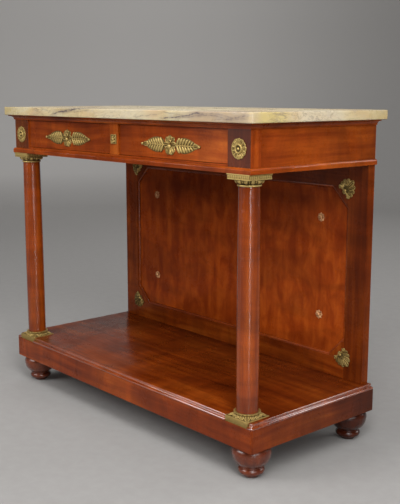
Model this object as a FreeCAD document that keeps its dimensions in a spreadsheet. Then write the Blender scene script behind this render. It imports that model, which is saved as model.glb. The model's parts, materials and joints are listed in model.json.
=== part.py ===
import FreeCAD, Part
import os
import re
import Sketcher

# Pier table: a marble slab on a two-drawer frieze, carried by two front columns and a panelled back,
# over a plinth shelf on turned feet. Millimetres; X to the right, Y to the back, Z up from the floor.

# Driving sizes, each set by itself
SIZES = {
    # Marble slab
    "marble_thickness": 25.5,
    "marble_side_overhang": 28.0,
    "marble_front_overhang": 26.5,
    "marble_back_overhang": 9.0,
    "marble_corner_radius": 12.0,
    "marble_arris": 2.5,
    # Frieze box with its posts and rails
    "frieze_width": 1094.0,
    "frieze_depth": 469.5,
    "frieze_height": 120.5,
    "post_width": 80.0,
    "post_depth": 34.0,
    "post_block_depth": 45.0,
    "side_thickness": 22.0,
    "back_rail_thickness": 22.0,
    "centre_stile_width": 40.0,
    "bottom_rail_height": 20.0,
    # Cornice under the marble and band round the foot of the frieze
    "cornice_height": 14.5,
    "cornice_projection": 16.0,
    "cornice_toe": 3.0,
    "cornice_fillet": 3.5,
    "band_height": 15.0,
    "band_projection": 6.5,
    "band_fillet": 8.0,
    "band_top_edge": 1.5,
    # Drawers, their runners and locks
    "drawer_recess": 5.0,
    "drawer_gap": 0.8,
    "running_clearance": 0.3,
    "drawer_front_thickness": 24.0,
    "drawer_lap": 10.0,
    "drawer_side_thickness": 12.0,
    "drawer_side_height": 78.0,
    "drawer_back_gap": 22.5,
    "drawer_back_drop": 6.0,
    "drawer_bottom_thickness": 7.0,
    "drawer_bottom_rise": 10.0,
    "dovetail_pin": 10.0,
    "dovetail_pin_tip": 4.5,
    "groove_depth": 5.0,
    "runner_width": 25.0,
    "guide_width": 20.0,
    "guide_height": 25.0,
    "lock_width": 55.0,
    "lock_height": 46.0,
    "lock_depth": 12.0,
    "bolt_width": 28.0,
    "bolt_thickness": 6.0,
    "bolt_height": 22.0,
    "bolt_travel": 9.0,
    "mortise_clearance": 0.6,
    "key_radius": 2.6,
    "key_rise": 9.5,
    "mount_drop": 3.0,
    # Columns with their bronze capitals and bases
    "column_height": 613.5,
    "column_inset_side": 37.7,
    "column_inset_front": 33.5,
    "column_radius_top": 27.0,
    "column_radius_bottom": 28.6,
    "tenon_radius": 11.0,
    "tenon_depth": 18.0,
    "tenon_clearance": 0.2,
    "abacus_side": 79.0,
    "abacus_height": 14.5,
    "capital_radius": 36.0,
    "echinus_height": 12.0,
    "astragal_height": 5.0,
    "astragal_radius": 29.0,
    "egg_radius": 5.2,
    "base_plate_side": 79.0,
    "base_plate_rise": 1.5,
    "base_ring_height": 12.5,
    "base_ring_radius": 38.5,
    "base_waist_radius": 33.0,
    "base_waist_height": 7.0,
    "base_rim_radius": 35.5,
    "base_leaf_radius": 3.9,
    # Panelled back
    "frame_thickness": 26.5,
    "back_stile_width": 66.0,
    "back_top_rail_height": 64.0,
    "back_bottom_rail_height": 57.5,
    "panel_recess": 9.0,
    "panel_thickness": 9.0,
    "panel_tongue": 8.0,
    "cant": 57.0,
    "bead_width": 7.0,
    "bead_depth": 6.0,
    "bead_round": 5.0,
    # Plinth, shelf and feet
    "foot_height": 84.5,
    "plinth_height": 61.5,
    "shelf_thickness": 14.5,
    "plinth_side_projection": 21.0,
    "plinth_front_projection": 8.5,
    "plinth_board_thickness": 24.0,
    "plinth_corner_radius": 6.0,
    "shelf_lip_height": 6.5,
    "shelf_step": 7.5,
    "shelf_lip_round": 4.0,
    "shelf_arris": 2.5,
    "block_side": 90.0,
    "foot_inset_side": 53.0,
    "foot_inset_front": 53.0,
    "foot_inset_back": 41.0,
    "foot_toe_radius": 20.0,
    "foot_ankle_radius": 24.0,
    "foot_ankle_height": 8.0,
    "foot_ring_height": 17.0,
    "foot_groove_radius": 29.0,
    "foot_groove_height": 3.0,
    "foot_belly_radius": 51.0,
    "foot_belly_height": 32.0,
    "foot_neck_radius": 40.0,
    "foot_tenon_radius": 15.0,
    "foot_tenon_depth": 36.0,
    # Gilt bronze mounts, in a row that stands on the foot of the locks so that each keyhole meets its lock
    "ornament_rise": 0.3,
    "mount_plate": 2.5,
    "leaf_hollow": 1.4,
    "rosette_radius": 22.0,
    "rosette_rim_height": 4.5,
    "rosette_dish_radius": 18.0,
    "rosette_ring_radius": 12.5,
    "rosette_ring_width": 5.0,
    "rosette_boss_radius": 5.5,
    "rosette_boss_height": 7.0,
    "rosette_petal_radius": 4.5,
    "patera_side": 26.0,
    "patera_rise": 63.0,
    "patera_petal_ring_radius": 7.5,
    "patera_petal_radius": 3.0,
    "patera_boss_radius": 5.0,
    "patera_boss_height": 6.0,
    "mount_length": 240.0,
    "mount_rosette_radius": 21.5,
    "mount_rosette_height": 6.0,
    "mount_petal_radius": 7.0,
    "mount_knob_radius": 5.5,
    "mount_knob_height": 10.0,
    "leaf_height": 40.0,
    "leaf_width": 15.0,
    "bud_length": 25.0,
    "bud_width": 10.0,
    "stem_width": 6.0,
    "finial_radius": 4.0,
    "palmette_reach": 46.0,
    "palmette_leaf_width": 16.5,
    "palmette_offset": 22.0,
    "palmette_heel_radius": 8.0,
    "palmette_bar_length": 38.0,
    "palmette_bar_width": 5.0,
    "palmette_scroll_radius": 6.5,
    "star_radius": 12.5,
    "star_waist_radius": 6.5,
    "star_inset_side": 104.0,
    "star_inset_top": 95.5,
    "star_inset_bottom": 111.0,
    "star_boss_radius": 4.5,
    "star_boss_height": 4.5,
    # Overrun of every cutting tool past the face it leaves
    "overrun": 5.0,
}

# Counts
ROSETTE_PETALS = 12
PATERA_PETALS = 8
MOUNT_PETALS = 8
PALMETTE_LEAVES = 7
STAR_POINTS = 8
CAPITAL_EGGS = 12
BASE_LEAVES = 16

# Shares of the sizes that they follow, and bulges of arcs (sagitta over half the chord)
HALF_ROUND_SHARE = 1
QUARTER_ROUND_SHARE = 0.41421356
EIGHTH_ROUND_SHARE = 0.19891237
MITRE_SHARE = 0.41421356
DIAGONAL_SHARE = 0.70710678
COVE_SHARE = -0.36
OVOLO_SHARE = 0.36
TORUS_SHARE = 0.8
ENTASIS_SHARE = 0.004
BEAD_SHARE = 0.7
RING_SHARE = 0.9
BELLY_SHARE = 0.25
SHOULDER_SHARE = 0.36
LEAF_SHOULDER_SHARE = 0.66
LEAF_BACK_SHARE = 0.10
LEAF_TIP_SHARE = 0.34
HOLLOW_START_SHARE = 0.16
HOLLOW_LENGTH_SHARE = 0.70
HOLLOW_WIDTH_SHARE = 0.55
PALMETTE_REACH_SHARES = (1.0, 0.96, 0.88, 0.74)
PALMETTE_SPREAD_DEGREES = 27
SPRAY_PLACE_SHARES = (0.07, 0.22, 0.36, 0.49, 0.61, 0.72)
SPRAY_LENGTH_SHARES = (1.0, 1.0, 0.92, 0.78, 0.62, 0.48)
SPRAY_LEAN_DEGREES = (84, 70, 62, 55, 49, 44)
FRONT_PIN_SHARES = (0.0, 0.33, 0.67, 1.0)
BACK_PIN_SHARES = (0.14, 0.5, 0.86)

# Heights
PLINTH_TOP = "(foot_height + plinth_height)"
SHELF_TOP = f"({PLINTH_TOP} + shelf_thickness)"
BASE_TOP = f"({SHELF_TOP} + base_plate_rise + base_ring_height)"
FRIEZE_BOTTOM = f"({SHELF_TOP} + column_height)"
CAPITAL_BOTTOM = f"({FRIEZE_BOTTOM} - abacus_height - echinus_height - astragal_height)"
OPENING_BOTTOM = f"({FRIEZE_BOTTOM} + bottom_rail_height)"
MARBLE_BOTTOM = f"({FRIEZE_BOTTOM} + frieze_height)"
OPENING_TOP = f"({MARBLE_BOTTOM} - cornice_height)"

# Half widths and depths; the slab is centred on the origin
SIDE = "(frieze_width / 2)"
SIDE_INNER = f"({SIDE} - side_thickness)"
MARBLE_FRONT = "(-(marble_front_overhang + frieze_depth + marble_back_overhang) / 2)"
FRONT = f"({MARBLE_FRONT} + marble_front_overhang)"
BACK = f"({FRONT} + frieze_depth)"
FRAME_BACK = f"({FRONT} + post_depth)"
BLOCK_BACK = f"({FRAME_BACK} + post_block_depth)"
BACK_RAIL_FRONT = f"({BACK} - back_rail_thickness)"
OPENING_INNER = "(centre_stile_width / 2)"
OPENING_OUTER = f"({SIDE} - post_width)"
COLUMN_X = f"({SIDE} - column_inset_side)"
COLUMN_Y = f"({FRONT} + column_inset_front)"

doc = FreeCAD.newDocument("pier_table")
sheet = doc.addObject("Spreadsheet::Sheet", "Sizes")
for row, (alias, number) in enumerate(SIZES.items(), start=1):
    sheet.set(f"A{row}", alias)
    sheet.set(f"B{row}", str(number))
    sheet.setAlias(f"B{row}", alias)
doc.recompute()

WORD = re.compile(r"[a-z][a-z_0-9]*")
QUARTER_TURN = FreeCAD.Rotation(FreeCAD.Vector(0, 0, 1), 90)
FACING = FreeCAD.Rotation(FreeCAD.Vector(1, 0, 0), 90)
nodes = {}


# Tools for building from named sizes

def bound(text):
    """Write a size expression so that each named size is read from the sheet."""
    return WORD.sub(lambda word: f"Sizes.{word[0]}" if word[0] in SIZES else word[0], str(text))


def value(text):
    """Work out a size expression."""
    return float(sheet.evalExpression(bound(text)))


def place(piece, x="0", y="0", z="0", turn=None):
    """Set a piece down at three size expressions, turned first."""
    piece.Placement = FreeCAD.Placement(FreeCAD.Vector(), turn or FreeCAD.Rotation())
    for axis, text in zip("xyz", (x, y, z)):
        piece.setExpression(f"Placement.Base.{axis}", bound(text))
    return piece


def node(label, piece):
    """Hand a finished piece in under its own label."""
    piece.Label = label
    nodes[label] = piece
    return piece


def board(name, x, y, z):
    """A straight board; x, y and z are pairs of size expressions, low and high."""
    box = doc.addObject("Part::Box", name)
    for side, (low, high) in zip(("Length", "Width", "Height"), (x, y, z)):
        box.setExpression(side, bound(f"({high}) - ({low})"))
    return place(box, x[0], y[0], z[0])


def around(centre, width):
    """A pair of expressions centred on one place."""
    return f"{centre} - ({width}) / 2", f"{centre} + ({width}) / 2"


def rod(name, radius, length, x, y, z, turn=None):
    """A round tool for boring, along Z unless turned."""
    cylinder = doc.addObject("Part::Cylinder", name)
    cylinder.setExpression("Radius", bound(radius))
    cylinder.setExpression("Height", bound(length))
    return place(cylinder, x, y, z, turn)


def cut(name, base, tools):
    """A piece with one or more tools taken out of it."""
    for number, tool in enumerate(tools, start=1):
        result = doc.addObject("Part::Cut", f"{name}_cut{number}")
        result.Base = base
        result.Tool = tool
        base = result
    return base


def fuse(name, pieces):
    """Several forms of one casting or turning as one solid."""
    result = doc.addObject("Part::MultiFuse", name)
    result.Shapes = pieces
    result.Refine = True
    return result


def mirrored(name, source):
    """The left-hand twin of a right-hand piece."""
    twin = doc.addObject("Part::Mirroring", name)
    twin.Source = source
    twin.Normal = FreeCAD.Vector(1, 0, 0)
    return twin


def pair(name, right):
    """Hand in a right-hand piece and its left-hand twin."""
    node(f"{name}_right", right)
    node(f"{name}_left", mirrored(f"{name}_left", right))


def group(label, pieces):
    """Like pieces that share one node, each a solid of its own."""
    compound = doc.addObject("Part::Compound", label)
    compound.Links = pieces
    return node(label, compound)


def bend(start, end, bulge):
    """Expressions for the middle of an arc from start to end."""
    (x1, y1), (x2, y2) = start, end
    x = f"(({x1}) + ({x2})) / 2 + ({bulge}) * (({y2}) - ({y1})) / 2"
    y = f"(({y1}) + ({y2})) / 2 - ({bulge}) * (({x2}) - ({x1})) / 2"
    return x, y


def point(corner):
    """The place of a corner given by two expressions."""
    return FreeCAD.Vector(value(corner[0]), value(corner[1]), 0)


def pin(sketch, geometry, position, corner):
    """Hold one point of a sketch at two size expressions from the sketch's origin."""
    for kind, text in zip(("DistanceX", "DistanceY"), corner):
        index = sketch.addConstraint(
            Sketcher.Constraint(kind, -1, 1, geometry, position, value(text)))
        sketch.setExpression(f"Constraints[{index}]", bound(text))


def draw(sketch, outline):
    """Draw a closed outline; a corner is (x, y), or (x, y, bulge) before a side that is an arc."""
    sides = []
    for index, corner in enumerate(outline):
        start, end = corner[:2], outline[(index + 1) % len(outline)][:2]
        if len(corner) == 3:
            middle = bend(start, end, corner[2])
            arc = Part.Arc(point(start), point(middle), point(end))
            side = sketch.addGeometry(arc)
            mark = sketch.addGeometry(Part.Point(point(middle)), True)
            sketch.addConstraint(Sketcher.Constraint("PointOnObject", mark, 1, side))
            pin(sketch, mark, 1, middle)
        else:
            side = sketch.addGeometry(Part.LineSegment(point(start), point(end)))
        first_gap = sketch.getPoint(side, 1).distanceToPoint(point(start))
        last_gap = sketch.getPoint(side, 2).distanceToPoint(point(start))
        sides.append((side, 1, 2) if first_gap < last_gap else (side, 2, 1))
    for index, (side, start, _) in enumerate(sides):
        before, _, end = sides[index - 1]
        sketch.addConstraint(Sketcher.Constraint("Coincident", before, end, side, start))
        pin(sketch, side, start, outline[index][:2])


def outlined(name, plane, outline, body=None):
    """A body with one closed sketch on one of its own origin planes."""
    body = body or doc.addObject("PartDesign::Body", name)
    sketch = body.newObject("Sketcher::SketchObject", f"{name}_outline")
    support = next(part for part in body.Origin.OriginFeatures if part.Role == plane)
    sketch.AttachmentSupport = [(support, "")]
    sketch.MapMode = "FlatFace"
    draw(sketch, outline)
    return body, sketch


def padded(name, outline, thickness, plane="XY_Plane", body=None):
    """An outline given a thickness: upwards from XY, to the back from XZ, to the right from YZ."""
    body, sketch = outlined(name, plane, outline, body)
    pad = body.newObject("PartDesign::Pad", f"{name}_pad")
    pad.Profile = sketch
    pad.setExpression("Length", bound(thickness))
    pad.Reversed = plane == "XZ_Plane"
    return body


def turned(name, outline, body=None, axis=None):
    """An outline of radius and height spun as on a lathe, about Z or about an axis of its own.

    Such an axis is given by the radius and height of its foot and by how far it leans inwards.
    """
    body, sketch = outlined(name, "XZ_Plane", outline, body)
    if axis:
        sketch.AttachmentOffset = FreeCAD.Placement(FreeCAD.Vector(), QUARTER_TURN)
        for setting, text in zip(("Base.x", "Base.y", "Rotation.Angle"), axis):
            sketch.setExpression(f"AttachmentOffset.{setting}", bound(text))
    spin = body.newObject("PartDesign::Revolution", f"{name}_spin")
    spin.Profile = sketch
    spin.ReferenceAxis = (sketch, ["V_Axis"])
    return body


def polar(name, body, count, degrees=360):
    """Repeat the newest feature of a body about its Z axis."""
    axis = next(part for part in body.Origin.OriginFeatures if part.Role == "Z_Axis")
    pattern = body.newObject("PartDesign::PolarPattern", f"{name}_pattern")
    pattern.Originals = [body.Group[-2]]
    pattern.Axis = (axis, [""])
    pattern.Angle = degrees
    pattern.Occurrences = count
    body.Tip = pattern
    return body


def leaf_ring(name, body, low, high, radius, count):
    """Set a ring of plump pointed leaves round a turned body, each along a line from low to high."""
    outward = f"(({high[0]}) - ({low[0]}))"
    upward = f"(({high[1]}) - ({low[1]}))"
    length = f"sqrt({outward} ^ 2 + {upward} ^ 2)"
    spindle = [("0", "0", f"2 * {radius} / {length}"), ("0", length)]
    turned(name, spindle, body, (low[0], low[1], f"atan(-{outward} / {upward})"))
    return polar(f"{name}s", body, count)


def round_edges(body, radius, keep):
    """Round the edges of a body's newest form that a test on their boxes picks."""
    doc.recompute()
    base = body.Tip
    edges = enumerate(base.Shape.Edges, start=1)
    names = [f"Edge{index}" for index, edge in edges if keep(edge.BoundBox)]
    fillet = body.newObject("PartDesign::Fillet", f"{body.Name}_round")
    fillet.Base = (base, names)
    fillet.setExpression("Radius", bound(radius))
    return body


def near(one, other):
    """Whether two places are the same within a thousandth of the sheet's clearance."""
    return abs(one - other) < value("tenon_clearance / 1000")


def facing(degrees=0):
    """Turn a mount drawn flat so that it faces the front, then spin it on that face."""
    return FACING.multiply(FreeCAD.Rotation(FreeCAD.Vector(0, 0, 1), degrees))


# Marble slab with rounded front corners and eased edges

def marble_top():
    half = f"({SIDE} + marble_side_overhang)"
    back = f"({BACK} + marble_back_overhang)"
    turn = f"({half} - marble_corner_radius)"
    front = f"({MARBLE_FRONT} + marble_corner_radius)"
    outline = [(f"-{half}", back), (f"-{half}", front, QUARTER_ROUND_SHARE), (f"-{turn}", MARBLE_FRONT),
               (turn, MARBLE_FRONT, QUARTER_ROUND_SHARE), (half, front), (half, back)]
    slab = padded("marble_slab", outline, "marble_thickness")
    round_edges(slab, "marble_arris", lambda box: near(box.ZMin, box.ZMax))
    node("marble_top", place(slab, z=MARBLE_BOTTOM))


# Mouldings planted on three sides of the frieze, mitred at the front corners

def mitred(name, profile, projection, height, low):
    """A front strip and two side strips; the profile stands out along its first direction."""
    along = f"frieze_depth + {projection}"
    across = f"frieze_width + 2 * {projection}"
    side_bar = padded(f"{name}_side_bar", profile, along, "XZ_Plane")
    place(side_bar, SIDE, f"{FRONT} - {projection}", low)
    front_bar = padded(f"{name}_front_bar", profile, across, "XZ_Plane")
    place(front_bar, f"-{SIDE} - {projection}", FRONT, low, QUARTER_TURN.inverted())
    outer, tip = f"({SIDE} + {projection})", f"({FRONT} - {projection})"
    front_plan = [(f"-{outer}", tip), (outer, tip), (SIDE, FRONT), (f"-{SIDE}", FRONT)]
    side_plan = [(SIDE, FRONT), (outer, tip), (outer, BACK), (SIDE, BACK)]
    strips = []
    for part, bar, plan in (("front", front_bar, front_plan), ("right", side_bar, side_plan)):
        block = place(padded(f"{name}_{part}_mitre", plan, height), z=low)
        strip = doc.addObject("Part::Common", f"{name}_{part}_strip")
        strip.Base = bar
        strip.Tool = block
        strips.append(strip)
    node(f"{name}_front", strips[0])
    pair(name, strips[1])


def cornice():
    profile = [("0", "0"), ("cornice_toe", "0"), ("cornice_toe", "cornice_fillet", COVE_SHARE),
               ("cornice_projection", "cornice_height - cornice_fillet"),
               ("cornice_projection", "cornice_height"), ("0", "cornice_height")]
    mitred("cornice", profile, "cornice_projection", "cornice_height", OPENING_TOP)


def frieze_band():
    profile = [("0", "0"), ("band_projection", "0"), ("band_projection", "band_fillet", OVOLO_SHARE),
               ("band_top_edge", "band_height"), ("0", "band_height")]
    mitred("frieze_band", profile, "band_projection", "band_height", FRIEZE_BOTTOM)


# Frieze box

def frieze():
    plan = [(OPENING_OUTER, FRONT), (SIDE, FRONT), (SIDE, FRAME_BACK), (SIDE_INNER, FRAME_BACK),
            (SIDE_INNER, BLOCK_BACK), (OPENING_OUTER, BLOCK_BACK)]
    post = place(padded("post_solid", plan, "frieze_height"), z=FRIEZE_BOTTOM)
    bore = rod("post_bore", "tenon_radius + tenon_clearance", "tenon_depth + tenon_clearance + overrun",
               COLUMN_X, COLUMN_Y, f"{FRIEZE_BOTTOM} - overrun")
    pair("frieze_post", cut("post", post, [bore]))
    depth = (FRONT, FRAME_BACK)
    between = (f"-{OPENING_OUTER}", OPENING_OUTER)
    node("frieze_centre_stile",
         board("centre_stile", around("0", "centre_stile_width"), depth, (OPENING_BOTTOM, OPENING_TOP)))
    node("frieze_bottom_rail", board("bottom_rail", between, depth, (FRIEZE_BOTTOM, OPENING_BOTTOM)))
    rail = board("top_rail", between, depth, (OPENING_TOP, MARBLE_BOTTOM))
    mortises = []
    for side in ("", "-"):
        opening = around(f"{side}{DRAWER_X}", "bolt_width + 2 * mortise_clearance")
        mouth = around(BOLT_Y, "bolt_thickness + 2 * mortise_clearance")
        deep = (f"{OPENING_TOP} - overrun", f"{OPENING_TOP} + bolt_travel + mortise_clearance")
        mortises.append(board(f"bolt_mortise{len(mortises)}", opening, mouth, deep))
    node("frieze_top_rail", cut("top_rail", rail, mortises))
    full = (FRIEZE_BOTTOM, MARBLE_BOTTOM)
    pair("frieze_side", board("side_board", (SIDE_INNER, SIDE), (FRAME_BACK, BACK), full))
    inner = f"({SIDE} - back_stile_width)"
    node("frieze_back_rail", board("back_rail", (f"-{inner}", inner), (BACK_RAIL_FRONT, BACK), full))


# Runners under the drawers, guides beside them and kickers above them

def drawer_way():
    inner = f"({OPENING_OUTER} - runner_width)"
    middle = around("0", "centre_stile_width + 2 * runner_width")
    side_run = (BLOCK_BACK, f"{BACK} - frame_thickness")
    middle_run = (FRAME_BACK, BACK_RAIL_FRONT)
    guide_top = f"{OPENING_BOTTOM} + guide_height"
    low, high = (FRIEZE_BOTTOM, OPENING_BOTTOM), (OPENING_TOP, MARBLE_BOTTOM)
    right_runner = board("right_runner", (inner, SIDE_INNER), side_run, low)
    right_guide = board("right_guide", (OPENING_OUTER, f"{OPENING_OUTER} + guide_width"), side_run,
                        (OPENING_BOTTOM, guide_top))
    middle_runner = board("middle_runner", middle, middle_run, low)
    middle_guide = board("middle_guide", around("0", "centre_stile_width"), middle_run,
                         (OPENING_BOTTOM, guide_top))
    left_runner, left_guide = mirrored("left_runner", right_runner), mirrored("left_guide", right_guide)
    group("drawer_runners",
          [right_runner, right_guide, middle_runner, middle_guide, left_runner, left_guide])
    right_kicker = board("right_kicker", (inner, SIDE_INNER), side_run, high)
    middle_kicker = board("middle_kicker", middle, middle_run, high)
    group("drawer_kickers", [right_kicker, middle_kicker, mirrored("left_kicker", right_kicker)])


# Drawer with dovetailed sides, a grooved bottom, a lock with its bolt and a bronze mount

DRAWER_X = f"(({OPENING_INNER} + {OPENING_OUTER}) / 2)"
DRAWER_LOW = f"({OPENING_INNER} + drawer_gap)"
DRAWER_HIGH = f"({OPENING_OUTER} - drawer_gap)"
DRAWER_TOP = f"({OPENING_TOP} - drawer_gap)"
DRAWER_FACE = f"({FRONT} + drawer_recess)"
DRAWER_FRONT_BACK = f"({DRAWER_FACE} + drawer_front_thickness)"
DRAWER_BACK = f"({BACK_RAIL_FRONT} - drawer_back_gap)"
DRAWER_FOOT = f"({OPENING_BOTTOM} + running_clearance)"
BOLT_Y = f"({DRAWER_FRONT_BACK} - lock_depth / 2)"
LOCK_FOOT = f"({DRAWER_TOP} - lock_height)"
ORNAMENT_Z = f"({LOCK_FOOT} + ornament_rise)"
MOUNT_Z = f"({ORNAMENT_Z} - mount_drop)"
KEY_Z = f"({MOUNT_Z} + key_rise)"


def pin_sockets(name, end, past, root, low, high, shares):
    """The gaps between the dovetails at one end of both drawer sides, each narrower towards that end."""
    sockets = []
    for number, share in enumerate(shares):
        middle = f"{low} + {share} * ({high} - {low})"
        tip_low, tip_high = around(middle, "dovetail_pin_tip")
        root_low, root_high = around(middle, "dovetail_pin")
        outline = [(past, tip_low), (end, tip_low), (root, root_low), (root, root_high), (end, tip_high),
                   (past, tip_high)]
        width = f"{DRAWER_HIGH} - {DRAWER_LOW} + 2 * overrun"
        socket = padded(f"{name}_socket{number}", outline, width, "YZ_Plane")
        sockets.append(place(socket, f"{DRAWER_LOW} - overrun"))
    return sockets


def drawer():
    side_top = f"({DRAWER_FOOT} + drawer_side_height)"
    bottom_low = f"({DRAWER_FOOT} + drawer_bottom_rise)"
    bottom_high = f"({bottom_low} + drawer_bottom_thickness)"
    inner_low = f"({DRAWER_LOW} + drawer_side_thickness)"
    inner_high = f"({DRAWER_HIGH} - drawer_side_thickness)"
    back_top = f"({side_top} - drawer_back_drop)"
    back_root = f"({DRAWER_BACK} - drawer_side_thickness)"
    side_front = f"({DRAWER_FACE} + drawer_lap)"
    sockets = fuse("drawer_sockets", [
        *pin_sockets("front", side_front, f"{side_front} - overrun", DRAWER_FRONT_BACK,
                     DRAWER_FOOT, side_top, FRONT_PIN_SHARES),
        *pin_sockets("back", DRAWER_BACK, f"{DRAWER_BACK} + overrun", back_root,
                     bottom_high, back_top, BACK_PIN_SHARES)])
    side_run, upright = (side_front, DRAWER_BACK), (DRAWER_FOOT, side_top)
    left = board("drawer_inner_board", (DRAWER_LOW, inner_low), side_run, upright)
    left = cut("drawer_inner_tails", left, [sockets])
    right = board("drawer_outer_board", (inner_high, DRAWER_HIGH), side_run, upright)
    right = cut("drawer_outer_tails", right, [sockets])
    bottom = board("drawer_bottom_board", (f"{inner_low} - groove_depth", f"{inner_high} + groove_depth"),
                   (f"{DRAWER_FRONT_BACK} - groove_depth", DRAWER_BACK), (bottom_low, bottom_high))
    front = board("drawer_front_board", (DRAWER_LOW, DRAWER_HIGH), (DRAWER_FACE, DRAWER_FRONT_BACK),
                  (f"{OPENING_BOTTOM} + drawer_gap", DRAWER_TOP))
    back = board("drawer_back_board", (DRAWER_LOW, DRAWER_HIGH), (back_root, DRAWER_BACK),
                 (bottom_high, back_top))
    case = board("lock_block", around(DRAWER_X, "lock_width"),
                 (f"{DRAWER_FRONT_BACK} - lock_depth", DRAWER_FRONT_BACK),
                 (LOCK_FOOT, DRAWER_TOP))
    bolt_foot = f"{DRAWER_TOP} - bolt_height"
    bolt = board("bolt_block", around(DRAWER_X, "bolt_width"), around(BOLT_Y, "bolt_thickness"),
                 (bolt_foot, DRAWER_TOP))
    slot = board("bolt_slot", around(DRAWER_X, "bolt_width + 2 * running_clearance"),
                 around(BOLT_Y, "bolt_thickness + 2 * running_clearance"),
                 (f"{bolt_foot} - running_clearance", f"{DRAWER_TOP} + overrun"))
    keyhole = rod("keyhole", "key_radius", "overrun + drawer_front_thickness - lock_depth / 2",
                  DRAWER_X, BOLT_Y, KEY_Z, FACING)
    pair("drawer_front", cut("drawer_front", front, [left, right, bottom, case, keyhole]))
    pair("drawer_inner_side", cut("drawer_inner_side", left, [bottom]))
    pair("drawer_outer_side", cut("drawer_outer_side", right, [bottom]))
    pair("drawer_back", cut("drawer_back", back, [left, right]))
    pair("drawer_bottom", bottom)
    pair("lock_case", cut("lock_case", case, [slot, keyhole]))
    pair("lock_bolt", bolt)
    pair("drawer_mount", cut("drawer_mount", drawer_mount_casting(), [keyhole]))


# Bronze mounts, drawn flat with X to the right and Y up, then turned to face the front

def dome(radius, rise):
    """The bulge of a cap whose arc ends level on the axis, as a part of a sphere."""
    slope = f"(({rise}) / ({radius}))"
    return f"(sqrt(1 + {slope} ^ 2) - 1) / {slope}"


def button(name, radius, low, high, body=None):
    """A round knob whose domed top starts at one height and ends at another."""
    rise = dome(radius, f"({high}) - ({low})")
    return turned(name, [("0", "0"), (radius, "0"), (radius, low, rise), ("0", high)], body)


def petals(name, body, ring, inner, outer, height, count):
    """A ring of round petals about a turned body, each reaching in and out from a circle."""
    outline = [(f"{ring} - {inner}", "0", HALF_ROUND_SHARE), (f"{ring} + {outer}", "0", HALF_ROUND_SHARE)]
    padded(f"{name}_petal", outline, height, body=body)
    return polar(f"{name}_petals", body, count)


def leaf_outline(start, length, width):
    """A leaf along X: narrow at its stalk, widest near its rounded tip."""
    shoulder = f"{start} + ({length}) * {LEAF_SHOULDER_SHARE}"
    return [(start, "0", LEAF_BACK_SHARE), (shoulder, f"-({width}) / 2", LEAF_TIP_SHARE),
            (f"{start} + {length}", "0", LEAF_TIP_SHARE), (shoulder, f"({width}) / 2", LEAF_BACK_SHARE)]


def foliage(name, face, leaves, stems=()):
    """Hollow leaves and their stems on one face; a leaf is its length, width, stalk (x, z) and heading."""
    blades, hollows = list(stems), []
    for number, (length, width, (x, z), heading) in enumerate(leaves):
        blade = padded(f"{name}_leaf{number}", leaf_outline("0", length, width), "mount_plate")
        blades.append(place(blade, x, face, z, facing(heading)))
        inset = leaf_outline(f"{length} * {HOLLOW_START_SHARE}", f"{length} * {HOLLOW_LENGTH_SHARE}",
                             f"{width} * {HOLLOW_WIDTH_SHARE}")
        hollow = padded(f"{name}_hollow{number}", inset, "mount_plate")
        hollows.append(place(hollow, x, f"{face} - mount_plate + leaf_hollow", z, facing(heading)))
    return cut(name, fuse(f"{name}_blades", blades), [fuse(f"{name}_hollows", hollows)])


def drawer_mount_casting():
    """A flower over the keyhole between two tapering sprays of leaves, each ending in a bud and a bead."""
    flower = turned("mount_flower", [
        ("0", "0"), ("mount_rosette_radius", "0"), ("mount_rosette_radius", "mount_plate", OVOLO_SHARE),
        ("mount_rosette_radius / 2", "mount_rosette_height"), ("0", "mount_rosette_height")])
    petals("mount", flower, "mount_rosette_radius", "mount_petal_radius", "mount_petal_radius / 2",
           "mount_plate + mount_plate / 2", MOUNT_PETALS)
    button("mount_knob", "mount_knob_radius", "mount_rosette_height", "mount_knob_height", flower)
    pieces = [place(flower, DRAWER_X, DRAWER_FACE, MOUNT_Z, facing())]
    reach = "(mount_length / 2 - mount_rosette_radius - finial_radius)"
    for side, heading in ((1, 0), (-1, 180)):
        start = f"{DRAWER_X} + ({side}) * mount_rosette_radius"
        stem = [("0", "-stem_width / 2"), (reach, "-stem_width / 6"), (reach, "stem_width / 6"),
                ("0", "stem_width / 2")]
        stem = padded(f"mount_stem{heading}", stem, "mount_plate")
        place(stem, start, DRAWER_FACE, MOUNT_Z, facing(heading))
        tip = f"{DRAWER_X} + ({side}) * (mount_length / 2 - finial_radius)"
        bead_top = "mount_plate + finial_radius / 2"
        bead = button(f"mount_bead{heading}", "finial_radius", "mount_plate", bead_top)
        pieces.append(place(bead, tip, DRAWER_FACE, MOUNT_Z, facing()))
        leaves = [("bud_length", "bud_width", (f"{tip} - ({side}) * bud_length", MOUNT_Z), heading)]
        for place_share, share, lean in zip(SPRAY_PLACE_SHARES, SPRAY_LENGTH_SHARES, SPRAY_LEAN_DEGREES):
            stalk = (f"{start} + ({side}) * {place_share} * {reach}", MOUNT_Z)
            leaves += [(f"(leaf_height / 2 * {share})", f"(leaf_width * {share})", stalk, heading + turn)
                       for turn in (lean, -lean)]
        pieces.append(foliage(f"mount_spray{heading}", DRAWER_FACE, leaves, [stem]))
    return fuse("mount_casting", pieces)


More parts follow.
